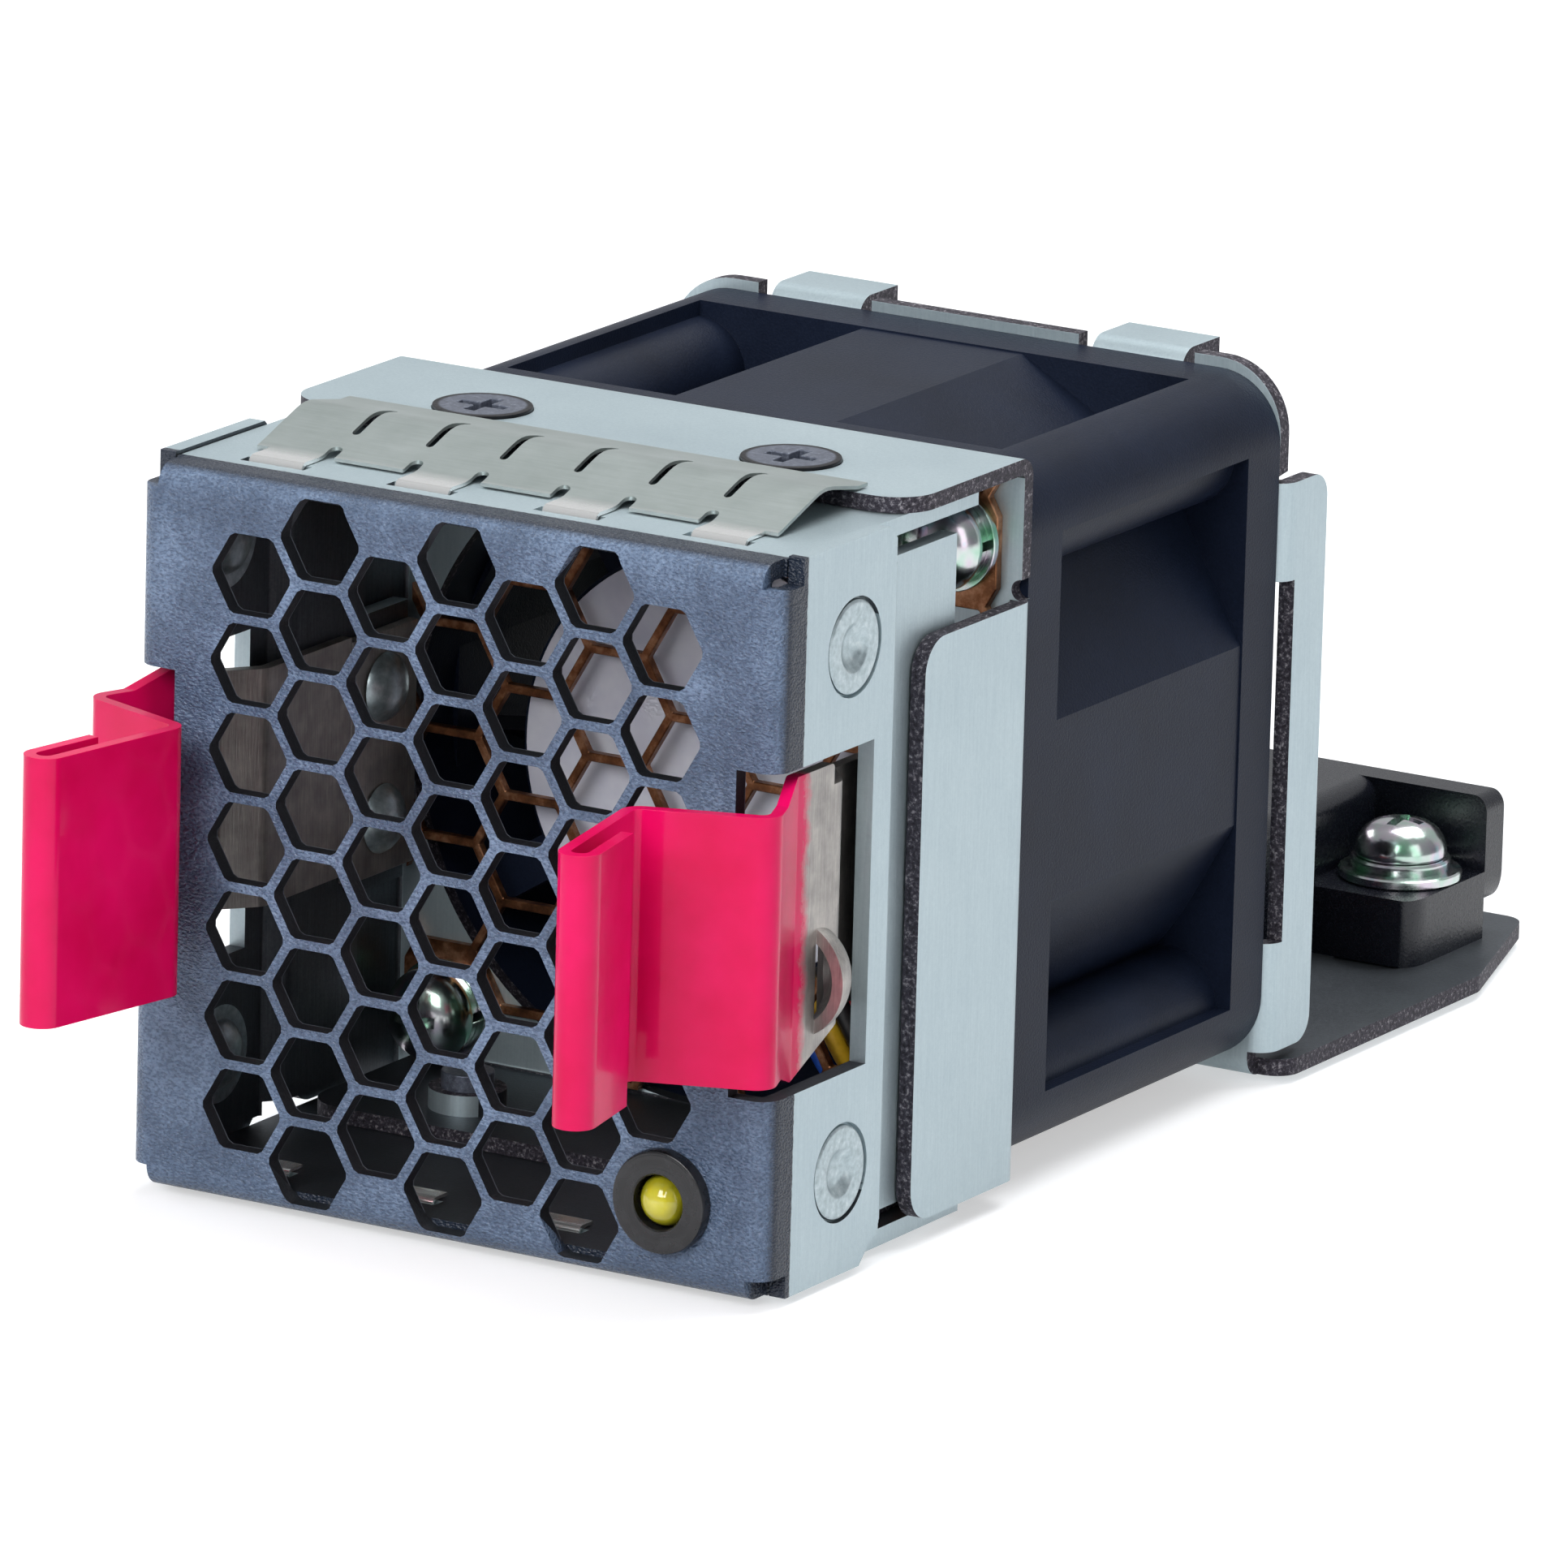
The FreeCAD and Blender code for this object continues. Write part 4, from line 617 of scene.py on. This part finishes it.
# Side view of the middle of the sheet, as (y, z): foot, ridge, front slope, tab, leg and hook.
side_line = [Vector((15.28, 21.65)), Vector((14.3, 21.65))]
ridge_start = Vector((11.6, 22.16))
ridge_peak = Vector((10.7, 22.33))
ridge_end = Vector((9.8, 22.01))
for share in (0, 0.25, 0.5, 0.75, 1):
    first = ridge_start.lerp(ridge_peak, share)
    side_line.append(first.lerp(ridge_peak.lerp(ridge_end, share), share))
side_line += [Vector(point) for point in ((6.5, 20.86), (6.1, 20.73), (5.6, 20.66), (4.3, 20.65))]
tab_bend = Vector((4.3, 20.25))
tab_bend_radius = 0.4
for turn in (20, 40, 60, 75):
    turn = math.radians(turn)
    side_line.append(tab_bend + tab_bend_radius * Vector((-math.sin(turn), math.cos(turn))))
side_line += [Vector(point) for point in ((3.9, 20.2), (3.9, 19.36), (5.0, 19.36))]
outer, inner = [], []
for index, point in enumerate(side_line):
    steps = []
    if index > 0:
        steps.append((point - side_line[index - 1]).normalized())
    if index < len(side_line) - 1:
        steps.append((side_line[index + 1] - point).normalized())
    along = sum(steps, Vector((0, 0))).normalized()
    reach = Vector((along.y, -along.x)) * strip_half_sheet / along.dot(steps[0])
    outer.append(point + reach)
    inner.append(point - reach)
sheet = bmesh.new()
sides = (strip_half_width, -strip_half_width)
prism(sheet, [[spot(x, y, z) for y, z in outer + inner[::-1]] for x in sides])
bmesh.ops.recalc_face_normals(sheet, faces=sheet.faces)
openings = bmesh.new()
for finger in range(1, strip_fingers):
    x = strip_half_width * (2 * finger / strip_fingers - 1)
    opening(openings, round_ended(x, *slit_span, slit_radius))
gap_ends = [-strip_half_width - strip_clear]
for middle in tab_middles:
    gap_ends += [middle - tab_half_width, middle + tab_half_width]
gap_ends.append(strip_half_width + strip_clear)
gap_front = 3.0
for low, high in zip(gap_ends[::2], gap_ends[1::2]):
    corners = [(low, gap_front), (high, gap_front), (high, strip_front), (low, strip_front)]
    opening(openings, corners)
    for x in (low + notch_radius, high - notch_radius):
        if abs(x) < strip_half_width - notch_keep:
            opening(openings, round_ended(x, *notch_span, notch_radius), 0.1)
strip = new_piece("top_finger_strip", sheet)
carve(strip, openings)
for face in strip.data.polygons:
    face.use_smooth = True
strip.data.set_sharp_from_angle(angle=math.radians(strip_sharp))
placed(strip, "tray", "contact_strip", [spring_strip], "top_gasket_strip")
strip = eased("bottom_gasket_strip", "bottom_finger_strip", 0.05, 1)
placed(strip, "tray", "contact_strip", [spring_strip], "bottom_gasket_strip")

# Status lamp
# A 3 mm yellow-green lamp, switched off, in a ring of glossy black plastic with fine turning
# marks. The ring snaps into a hole in the corner of the front.
lamp_x = 14.1
lamp_z = -15.5


def from_lamp(finish, place):
    """How far a place is from the lamp's axis, in millimetres."""
    across = finish.part(place, 0) - lamp_x
    above = finish.part(place, 2) - (lamp_z + middle_height)
    return (across * across + above * above) ** 0.5


ring_black = new_finish("glossy black ring")
place = ring_black.place()
turning = (from_lamp(ring_black, place) * 34.0 + ring_black.noise(place, 0.8) * 2.0).wave()
smear = ring_black.noise(place, 1.1, 3.0)
ring_black.surface(
    Base_Color=ring_black.ramp(smear, [
        (0.3, shade(14, 14, 16)),
        (0.7, shade(34, 34, 37)),
    ]),
    Roughness=0.16 + smear * 0.22,
    Specular_IOR_Level=0.6,
    Normal=ring_black.bump(turning * 0.5 + smear, 0.006, 0.7),
)
bezel = lathe("lamp_ring", [
    (1.55, 0.7), (1.62, 0.78), (1.75, 0.8), (2.05, 0.72), (2.3, 0.74), (2.7, 0.8),
    (2.84, 0.74), (2.9, 0.6), (2.9, 0.0), (2.35, 0.0), (2.35, -1.0), (2.9, -1.0),
    (2.9, -3.85), (2.75, -4.0), (1.95, -4.0), (1.95, -3.2), (1.55, -3.2), (1.55, 0.7),
], spot(lamp_x, 0, lamp_z), (0, -1, 0))
placed(bezel, "tray", "lamp_ring", [ring_black], "led_bezel")

lens_green = new_finish("yellow-green lamp lens")
place = lens_green.place()
chip = lens_green.noise(place, 0.9, 2.0)
lens_green.surface(
    Base_Color=lens_green.ramp(from_lamp(lens_green, place) * 0.45 + chip * 0.35, [
        (0.15, shade(226, 218, 96)),
        (0.45, shade(206, 196, 42)),
        (0.80, shade(138, 134, 22)),
    ]),
    Roughness=0.08 + chip * 0.06,
    Subsurface_Weight=0.35,
    Subsurface_Radius=(0.001, 0.0012, 0.0003),
    Coat_Weight=0.6,
    Coat_Roughness=0.05,
)
lens_profile = [
    (0, 1.15), (0.35, 1.11), (0.75, 0.95), (1.08, 0.69), (1.33, 0.34), (1.46, 0.0),
    (1.5, -0.35), (1.5, -3.25), (1.9, -3.25), (1.9, -4.05), (0, -4.05),
]
lamp_lens = lathe("lamp_lens", lens_profile, spot(lamp_x, 0, lamp_z), (0, -1, 0))
placed(lamp_lens, "tray", "lamp_green", [lens_green], "led_lamp")

# Squeeze latches
# Spring steel strips riveted inside each side. The handles in front are painted glossy magenta
# and end in a folded hem; the paint fades out where the strip enters the side window.
painted_latch = new_finish("magenta gloss over brushed spring steel")
place = painted_latch.place()
y = painted_latch.part(place, 1)
wander = painted_latch.noise(place, 0.8, 3.0, 0.6)
spray = painted_latch.noise(place, 5.0, 4.0, 0.7)
latch_paint_end = -35.1
pink = ((latch_paint_end - y + wander * 1.3 + spray * 0.7) * 1.1).clamped()
brush = painted_latch.noise(painted_latch.stretched(place, 7.0, 7.0, 0.35), 1.2, 4.0, 0.7)
smudge = painted_latch.noise(place, 0.5, 4.0, 0.6)
bare_colour = painted_latch.ramp(brush * 0.45 + smudge * 0.55, [
    (0.30, shade(128, 124, 122)),
    (0.50, shade(162, 158, 154)),
    (0.70, shade(198, 192, 186)),
])
pink_tone = painted_latch.noise(place, 0.2, 3.0)
pink_colour = painted_latch.ramp(pink_tone, [
    (0.3, shade(208, 4, 76)),
    (0.7, shade(226, 10, 94)),
])
peel = painted_latch.noise(place, 0.9, 2.0)
latch_relief = pink * peel * 0.9 + (1 - pink) * brush * 0.9
painted_latch.surface(
    Base_Color=painted_latch.mix(pink, bare_colour, pink_colour),
    Roughness=pink * 0.24 + (1 - pink) * (0.3 + brush * 0.22),
    Metallic=(1 - pink) * 0.85,
    Specular_IOR_Level=0.1,
    Coat_Weight=pink * 0.25,
    Coat_Roughness=0.08,
    Normal=painted_latch.bump(latch_relief, 0.03, 0.8),
)
for side in ("right", "left"):
    arm = eased(side + "_latch_arm", side + "_latch", 0.09, 2)
    placed(arm, side + "_latch", "latch_" + side, [painted_latch], side + "_latch_arm")
    leaf = eased(side + "_latch_leaf", side + "_latch_root", 0.06, 1)
    placed(leaf, "tray", "spring_steel", [painted_latch], side + "_latch_leaf")

dome_rivet_profile = [
    (0, 1.1), (0.5, 1.06), (1.0, 0.92), (1.45, 0.66), (1.8, 0.34), (1.98, 0.06), (2.0, 0.0),
    (1.2, 0.0), (1.2, -1.7), (0, -1.7),
]
latch_rivet_seat = 17.65
latch_rivet_depth = 21.3
latch_rivet_heights = (-3.8, 3.8)
for side, name in ((1, "right"), (-1, "left")):
    studs = []
    for height in latch_rivet_heights:
        centre = spot(side * latch_rivet_seat, latch_rivet_depth, height)
        studs.append(lathe("stud", dome_rivet_profile, centre, (-side, 0, 0)))
    rivets = together("latch_studs_" + name, studs)
    placed(rivets, "tray", "rivet", [turned_steel], "latch_rivets_" + name)

# Middle bracket
# Galvanised sheet bent round the front of the fan: a top flange over the cover, two side flanges
# and a lower one. Countersunk screws hold it to the cover. Its cut edges are bare and rough.
thickest_sheet = 0.0013
just_under = 1e-6


def bracket_face(face, tree):
    """Cut edges are further through than the sheet is thick; the rest looks out, or looks in and
    gets painted shade.
    """
    start = face.calc_center_median() - face.normal * just_under
    through = tree.ray_cast(start, -face.normal)[3]
    if through is None or through > thickest_sheet:
        return 1
    return 2 if faces_inside(face) else 0


bracket = eased("mid_bracket", "middle_bracket", 0.1, 2, bracket_face)
placed(bracket, "tray", "galvanised", [steel, sheared, inside_shaded_steel], "mid_bracket")

black_screw = new_finish("satin black screw")
place = black_screw.place()
wear = black_screw.noise(place, 3.0, 4.0, 0.7)
plate_screw_x = 9.9
plate_screw_y = -19.811
plate_screw_rim = 2.35
across = black_screw.part(place, 0).size() - plate_screw_x
along = black_screw.part(place, 1) - plate_screw_y
from_middle = (across * across + along * along) ** 0.5
# Painted shade: a near black ring round the edge of each head, where it meets the sheet.
rim_shade = ((from_middle - plate_screw_rim) * 6.0).clamped()
screw_colour = black_screw.ramp(wear, [
    (0.35, shade(84, 89, 102)),
    (0.55, shade(108, 114, 128)),
    (0.75, shade(150, 155, 166)),
])
black_screw.surface(
    Base_Color=black_screw.mix(rim_shade, screw_colour, shade(18, 18, 22)),
    Roughness=0.28 + wear * 0.25,
    Metallic=0.55,
    Normal=black_screw.bump(wear, 0.02, 0.6),
)
for node in ("top_plate_screws", "bottom_plate_screws"):
    screws = eased(node, node.replace("plate", "countersunk"), 0.07, 2)
    placed(screws, "tray", "black_screw", [black_screw], node)

# Inner guard
# A thin honeycomb screen of copper-coloured sheet, held between the middle bracket and the
# fan's inlet by the fan's own screws. Round each screw the sheet is left whole.
copper = new_finish("dull copper sheet")
place = copper.place()
tarnish = copper.noise(place, 0.7, 5.0, 0.65)
copper.surface(
    Base_Color=copper.ramp(tarnish, [
        (0.30, shade(74, 48, 34)),
        (0.50, shade(128, 84, 56)),
        (0.72, shade(196, 146, 112)),
    ]),
    Roughness=0.3 + tarnish * 0.25,
    Metallic=0.9,
    Normal=copper.bump(tarnish, 0.05, 0.6),
)
guard_pitch = 6.2
guard_strut = 0.5
guard_front = 25.7
guard_rear = 26.3
guard_half_width = 18.8
guard_low = -18.2
guard_high = 19.9
guard_reach = 4
guard_easing = 0.06
guard_screw_room = 4.2
fan_axis_z = 0.5
front_seats = [(16.0, 16.5), (-16.0, -15.5)]
rear_seats = [(-16.0, 16.5), (16.0, -15.5)]
screen = bmesh.new()
corner_reach = guard_pitch / math.sqrt(3)
hole_reach = (guard_pitch - guard_strut) / math.sqrt(3)
for column in range(-guard_reach, guard_reach + 1):
    for row in range(-guard_reach, guard_reach + 1):
        middle_x = column * corner_reach * 1.5
        middle_z = (row + 0.5 * (column % 2)) * guard_pitch + fan_axis_z
        rings = []
        for reach in (corner_reach, hole_reach):
            ring = []
            for index in range(6):
                turn = math.radians(60 * index)
                x = middle_x + reach * math.cos(turn)
                z = middle_z + reach * math.sin(turn)
                ring.append(screen.verts.new(spot(x, guard_front, z)))
            rings.append(ring)
        whole, hole = rings
        for index in range(6):
            after = (index + 1) % 6
            screen.faces.new((whole[index], whole[after], hole[after], hole[index]))
        gaps = [math.hypot(middle_x - x, middle_z - z) for x, z in front_seats + rear_seats]
        if min(gaps) < guard_screw_room:
            screen.faces.new(hole)
bmesh.ops.remove_doubles(screen, verts=screen.verts, dist=1e-6)
for limit, way in (
    (spot(guard_half_width, 0, 0), (1, 0, 0)),
    (spot(0, 0, guard_high), (0, 0, 1)),
    (spot(-guard_half_width, 0, 0), (-1, 0, 0)),
    (spot(0, 0, guard_low), (0, 0, -1)),
):
    shape = screen.verts[:] + screen.edges[:] + screen.faces[:]
    bmesh.ops.bisect_plane(screen, geom=shape, plane_co=limit, plane_no=way, clear_outer=True)
made = bmesh.ops.extrude_face_region(screen, geom=screen.faces[:])["geom"]
backs = [vert for vert in made if isinstance(vert, bmesh.types.BMVert)]
bmesh.ops.translate(screen, verts=backs, vec=(0, (guard_rear - guard_front) / 1000, 0))
bmesh.ops.recalc_face_normals(screen, faces=screen.faces)
guard = new_piece("copper_screen", screen)
rounding = guard.modifiers.new("rounded edges", "BEVEL")
rounding.width = guard_easing / 1000
rounding.limit_method = "ANGLE"
placed(guard, "tray", "copper_guard", [copper], "inner_guard")

# Pan-head screws and washers
# Bright zinc screws with a faint green and pink bloom hold the fan to both brackets and the plug
# to the floor; those in front sit on a split spring washer and a flat washer.
zinc = new_finish("passivated bright zinc")
place = zinc.place()
bloom = zinc.noise(place, 0.55, 2.0, 0.5)
haze = zinc.noise(place, 3.0, 3.0, 0.6)
zinc.surface(
    Base_Color=zinc.ramp(bloom, [
        (0.30, shade(150, 204, 172)),
        (0.42, shade(190, 214, 202)),
        (0.52, shade(208, 214, 212)),
        (0.62, shade(214, 202, 214)),
        (0.72, shade(168, 204, 208)),
    ]),
    Roughness=0.10 + haze * 0.2,
    Metallic=1.0,
    Normal=zinc.bump(haze, 0.008, 0.5),
)
head_profile = [
    (0, 2.2), (0.6, 2.18), (1.2, 2.08), (1.75, 1.88), (2.2, 1.54), (2.5, 1.1), (2.66, 0.62),
    (2.7, 0.2), (2.62, 0.04), (2.5, 0.0),
]
recess_length = 3.1
recess_width = 0.72
recess_depth = 1.5
recess_middle = 1.9
recess_taper = 0.62
shank_end = 0.3


def domed_screw(centre, axis, shank, length):
    """Screw with a domed pan head, a cross recess and a plain shank, its head seated at centre."""
    profile = head_profile + [
        (shank, 0.0), (shank, shank_end - length), (shank - shank_end, -length), (0, -length),
    ]
    screw = lathe("screw", profile, Vector(), (0, 0, 1))
    cutter = bmesh.new()
    for angle in (0, 90):
        arm = bmesh.ops.create_cube(cutter, size=1.0)["verts"]
        for vert in arm:
            narrow = recess_taper if vert.co.z < 0 else 1.0
            x = vert.co.x * recess_length * narrow
            y = vert.co.y * recess_width * narrow
            vert.co = Vector((x, y, recess_middle + vert.co.z * recess_depth)) / 1000
        turn = Matrix.Rotation(math.radians(angle), 3, "Z")
        bmesh.ops.rotate(cutter, verts=arm, cent=Vector(), matrix=turn)
    carve(screw, cutter)
    turn = Vector((0, 0, 1)).rotation_difference(Vector(axis)).to_matrix().to_4x4()
    screw.data.transform(Matrix.Translation(centre) @ turn)
    return screw


fan_shank = 1.75
fan_screw_length = 7.0
for name, seats, depth, way in (
    ("front", front_seats, 24.5, -1),
    ("rear", rear_seats, 56.2, 1),
):
    screws = []
    for x, z in seats:
        screws.append(domed_screw(spot(x, depth, z), (0, way, 0), fan_shank, fan_screw_length))
    screws = together(name + "_pan_screws", screws)
    placed(screws, "tray", "zinc_screw", [zinc], name + "_fan_screws")
for node in ("front_lock_washers", "front_flat_washers"):
    washers = eased(node, node.replace("front", "screw"), 0.08, 2)
    placed(washers, "tray", "zinc_screw", [zinc], node)

# Fan housing
# A 40 x 40 x 28 mm axial fan of black glass-filled plastic, screwed between the two brackets:
# two square flanges, corner posts and a round barrel with flats between the posts. A blank
# film label sits on the motor base.


def moulded_finish(name, dark, light, rough, specular):
    """Black plastic with a faint cloud and a fine sparkle."""
    finish = new_finish(name)
    place = finish.place()
    cloud = finish.noise(place, 0.12, 4.0, 0.6)
    spark = finish.noise(place, 7.0, 3.0, 0.6)
    finish.surface(
        Base_Color=finish.ramp(cloud * 0.6 + spark * 0.4, [(0.3, dark), (0.7, light)]),
        Roughness=rough + spark * 0.16,
        Specular_IOR_Level=specular,
        Normal=finish.bump(spark, 0.05, 0.5),
    )
    return finish


housing_plastic = moulded_finish(
    "black moulded fan plastic", shade(14, 20, 34), shade(27, 35, 53), 0.32, 0.13
)
housing = eased("fan_frame", "fan_housing", 0.22, 3)
placed(housing, "tray", "fan_plastic", [housing_plastic], "fan_frame")

barrel_radius = 19.9
barrel_inner = 19.3
flat_half_width = 5.2
barrel_front = 30.7
barrel_rear = 51.7
barrel_steps = 12
barrel_sharp = 12
flat_turn = math.degrees(math.atan(flat_half_width / barrel_radius))
vertex_radius = math.hypot(flat_half_width, barrel_radius)
slant_radius = barrel_radius / math.cos(math.radians(45 - 2 * flat_turn))
# Flats to the right, on top and to the left, slants between them, and a round stretch below.
outline = []
for middle in (0, 90, 180):
    outline += [(middle - flat_turn, vertex_radius), (middle + flat_turn, vertex_radius)]
    if middle < 180:
        outline.append((middle + 45, slant_radius))
round_start = 180 + 2 * flat_turn
round_turn = 180 - 4 * flat_turn
for step in range(barrel_steps + 1):
    outline.append((round_start + round_turn * step / barrel_steps, barrel_radius))
belt = bmesh.new()
rows = []
for angle, radius in outline:
    turn = math.radians(angle)
    corners = []
    for far, y in (
        (radius, barrel_front), (radius, barrel_rear),
        (barrel_inner, barrel_rear), (barrel_inner, barrel_front),
    ):
        corner = spot(far * math.cos(turn), y, fan_axis_z + far * math.sin(turn))
        corners.append(belt.verts.new(corner))
    rows.append(corners)
for row, after in zip(rows, rows[1:] + rows[:1]):
    for index in range(4):
        past = (index + 1) % 4
        belt.faces.new((row[index], after[index], after[past], row[past])).smooth = True
bmesh.ops.recalc_face_normals(belt, faces=belt.faces)
for edge in belt.edges:
    edge.smooth = edge.calc_face_angle(0.0) < math.radians(barrel_sharp)
flats = new_piece("barrel_flats", belt)
placed(flats, "tray", "fan_plastic", [housing_plastic])

film = new_finish("blank label film")
place = film.place()
ripple = film.noise(place, 0.4, 3.0)
film.surface(
    Base_Color=film.ramp(ripple, [
        (0.3, shade(208, 210, 226)),
        (0.7, shade(228, 230, 240)),
    ]),
    Roughness=0.3 + ripple * 0.15,
    Normal=film.bump(ripple, 0.02, 0.4),
)
label = eased("fan_label", "blank_label", 0.04, 1)
placed(label, "tray", "label", [film], "fan_label")

# Rotor
# Seven blades on a hub, moulded in one piece of black plastic over a steel cup with a ring
# magnet. It turns on the shaft with everything that the cup carries.
blade_plastic = moulded_finish(
    "black rotor plastic", shade(14, 15, 19), shade(24, 26, 32), 0.36, 0.1
)
rotor = eased("fan_rotor", "bladed_rotor", 0.1, 2, sharp=40.0)
placed(rotor, "rotor", "rotor_plastic", [blade_plastic], "fan_rotor")

# Motor inside the fan
# A brass sleeve in the housing's base holds two ball bearings, and a laminated core with four
# windings and a small board sit round it. Behind the hub hardly any of it shows, so these
# pieces keep their own meshes and only get finishes.


def metal_finish(name, dark, light, scale, rough, metallic, depth):
    """Even finish with one fine pattern, for metals and for small plain parts."""
    finish = new_finish(name)
    pattern = finish.noise(finish.place(), scale, 4.0, 0.6)
    finish.surface(
        Base_Color=finish.ramp(pattern, [(0.3, dark), (0.7, light)]),
        Roughness=rough + pattern * 0.2,
        Metallic=metallic,
        Normal=finish.bump(pattern, depth, 0.5),
    )
    return finish


def dress(node, finish):
    """Give a node that shows its own mesh its finish."""
    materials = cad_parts[node].data.materials
    materials.clear()
    materials.append(finish.owner)


ground_steel = (shade(150, 152, 155), shade(206, 208, 210), 3.0, 0.14, 1.0, 0.004)
brass = (shade(150, 116, 52), shade(212, 176, 96), 2.0, 0.2, 1.0, 0.006)
laminate = (shade(60, 60, 62), shade(112, 112, 114), 4.0, 0.4, 0.8, 0.02)
enamel = (shade(104, 44, 18), shade(184, 92, 44), 5.0, 0.25, 0.8, 0.06)
solder_mask = (shade(8, 52, 26), shade(18, 84, 44), 1.5, 0.3, 0.0, 0.01)
ferrite = (shade(32, 31, 31), shade(58, 56, 56), 3.0, 0.5, 0.2, 0.02)
steel_nodes = ["front_bearing", "rear_bearing", "fan_shaft", "shaft_clip", "preload_washer"]
steel_nodes += ["rotor_yoke", "led_legs"]
for name, look, nodes in (
    ("ground steel", ground_steel, steel_nodes),
    ("turned brass", brass, ["bearing_sleeve", "brass_boss"]),
    ("core laminations", laminate, ["stator_core"]),
    ("enamelled windings", enamel, ["stator_coils"]),
    ("green board", solder_mask, ["motor_board"]),
    ("bonded magnet", ferrite, ["magnet_ring"]),
):
    finish = metal_finish(name, *look)
    for node in nodes:
        dress(node, finish)

# Fan leads
# Four thin stranded wires in coloured insulation, held between the motor, the pocket beside the
# barrel and the plug.
for colour, dark, light in (
    ("red", shade(120, 8, 14), shade(178, 20, 26)),
    ("black", shade(14, 14, 16), shade(30, 30, 33)),
    ("yellow", shade(196, 150, 20), shade(232, 188, 48)),
    ("blue", shade(20, 58, 140), shade(36, 84, 178)),
):
    insulation = metal_finish(colour + " insulation", dark, light, 1.2, 0.3, 0.0, 0.01)
    dress("fan_lead_" + colour, insulation)

# Rear bracket
# Galvanised sheet behind the fan, held by the fan's rear screws: a plate with a round outlet,
# two tabs, slotted side flanges and a floor that runs back under the plug.
rear = eased("rear_bracket", "rear_plate", 0.1, 2, bracket_face)
placed(rear, "tray", "galvanised", [steel, sheared, inside_shaded_steel], "rear_bracket")

# Rear plug
# Black moulded housing with plated blades in its shroud. Two ears hold it to the floor with
# screws, each over a spring washer and a flat one, in nuts pressed into the floor.
plug_plastic = moulded_finish(
    "black plug plastic", shade(12, 14, 22), shade(22, 25, 34), 0.18, 0.5
)
# Places on the solid plug, each with the place where the photograph shows it.
plug_x = [(-19.3, -17.2), (-14.3, -13.6), (-9.8, -9.8), (9.8, 9.8), (14.3, 13.6), (19.3, 17.2)]
plug_y = [(72.0, 72.0), (75.5, 78.0), (78.8, 83.0), (82.5, 86.7), (90.0, 88.8)]
plug_z = [(-19.5, -19.5), (-16.1, -17.5), (-14.7, -15.5), (-9.5, -11.0)]


def between(value, stops):
    """A place carried from the first numbers of some stops to the second ones."""
    for (low, new_low), (high, new_high) in zip(stops, stops[1:]):
        if value <= high:
            break
    return new_low + (value - low) * (new_high - new_low) / (high - low)


def fitted(piece):
    """A piece of the plug drawn in to the outline that the photograph shows."""
    origin = spot(0, 0, 0)
    for vert in piece.data.vertices:
        x, y, z = (vert.co - origin) * 1000
        vert.co = spot(between(x, plug_x), between(y, plug_y), between(z, plug_z))
    return piece


plug = fitted(eased("connector_body", "plug_housing", 0.3, 3))
placed(plug, "tray", "black_connector", [plug_plastic], "connector_body")
gold_plate = (shade(196, 150, 70), shade(236, 198, 120), 3.0, 0.14, 1.0, 0.004)
plated = metal_finish("plated contacts", *gold_plate)
contacts = fitted(eased("connector_contacts", "plug_blades", 0.08, 1))
placed(contacts, "tray", "contact_brass", [plated], "connector_contacts")
ear_seats = [(-13.6, 83.0), (13.6, 83.0)]
ear_top = -15.5
washer_stack = 1.3
ear_shank = 1.5
ear_screw_length = 5.3
ear_screws = []
for x, y in ear_seats:
    under_head = spot(x, y, ear_top + washer_stack)
    ear_screws.append(domed_screw(under_head, (0, 0, 1), ear_shank, ear_screw_length))
placed(together("plug_screws", ear_screws), "tray", "zinc_screw", [zinc], "connector_screws")
washer_profile = [
    (1.6, 0.0), (3.5, 0.0), (3.6, 0.1), (3.6, 0.5), (3.5, 0.6), (2.95, 0.6), (2.85, 0.66),
    (2.9, 0.75), (2.95, 1.15), (2.85, 1.28), (2.7, 1.3), (1.6, 1.3), (1.6, 0.0),
]
ear_washers = [lathe("washer", washer_profile, spot(x, y, ear_top), (0, 0, 1)) for x, y in ear_seats]
placed(together("plug_washers", ear_washers), "tray", "zinc_screw", [zinc], "connector_washers")
nut_profile = [(0, 0.0), (2.42, 0.0), (2.42, -0.88), (1.3, -0.88), (1.25, -0.7), (0, -0.7)]
nut_top = -19.6
# The nuts stay in the solid floor's own holes, a little in front of the screws.
nut_seats = [(-14.3, 78.8), (14.3, 78.8)]
ear_nuts = [lathe("nut", nut_profile, spot(x, y, nut_top), (0, 0, 1)) for x, y in nut_seats]
# The nuts take the steel darkened with painted shade.
placed(together("plug_nuts", ear_nuts), "tray", "galvanised", [inside_shaded_steel], "connector_nuts")

bpy.context.scene.view_settings.view_transform = "Standard"
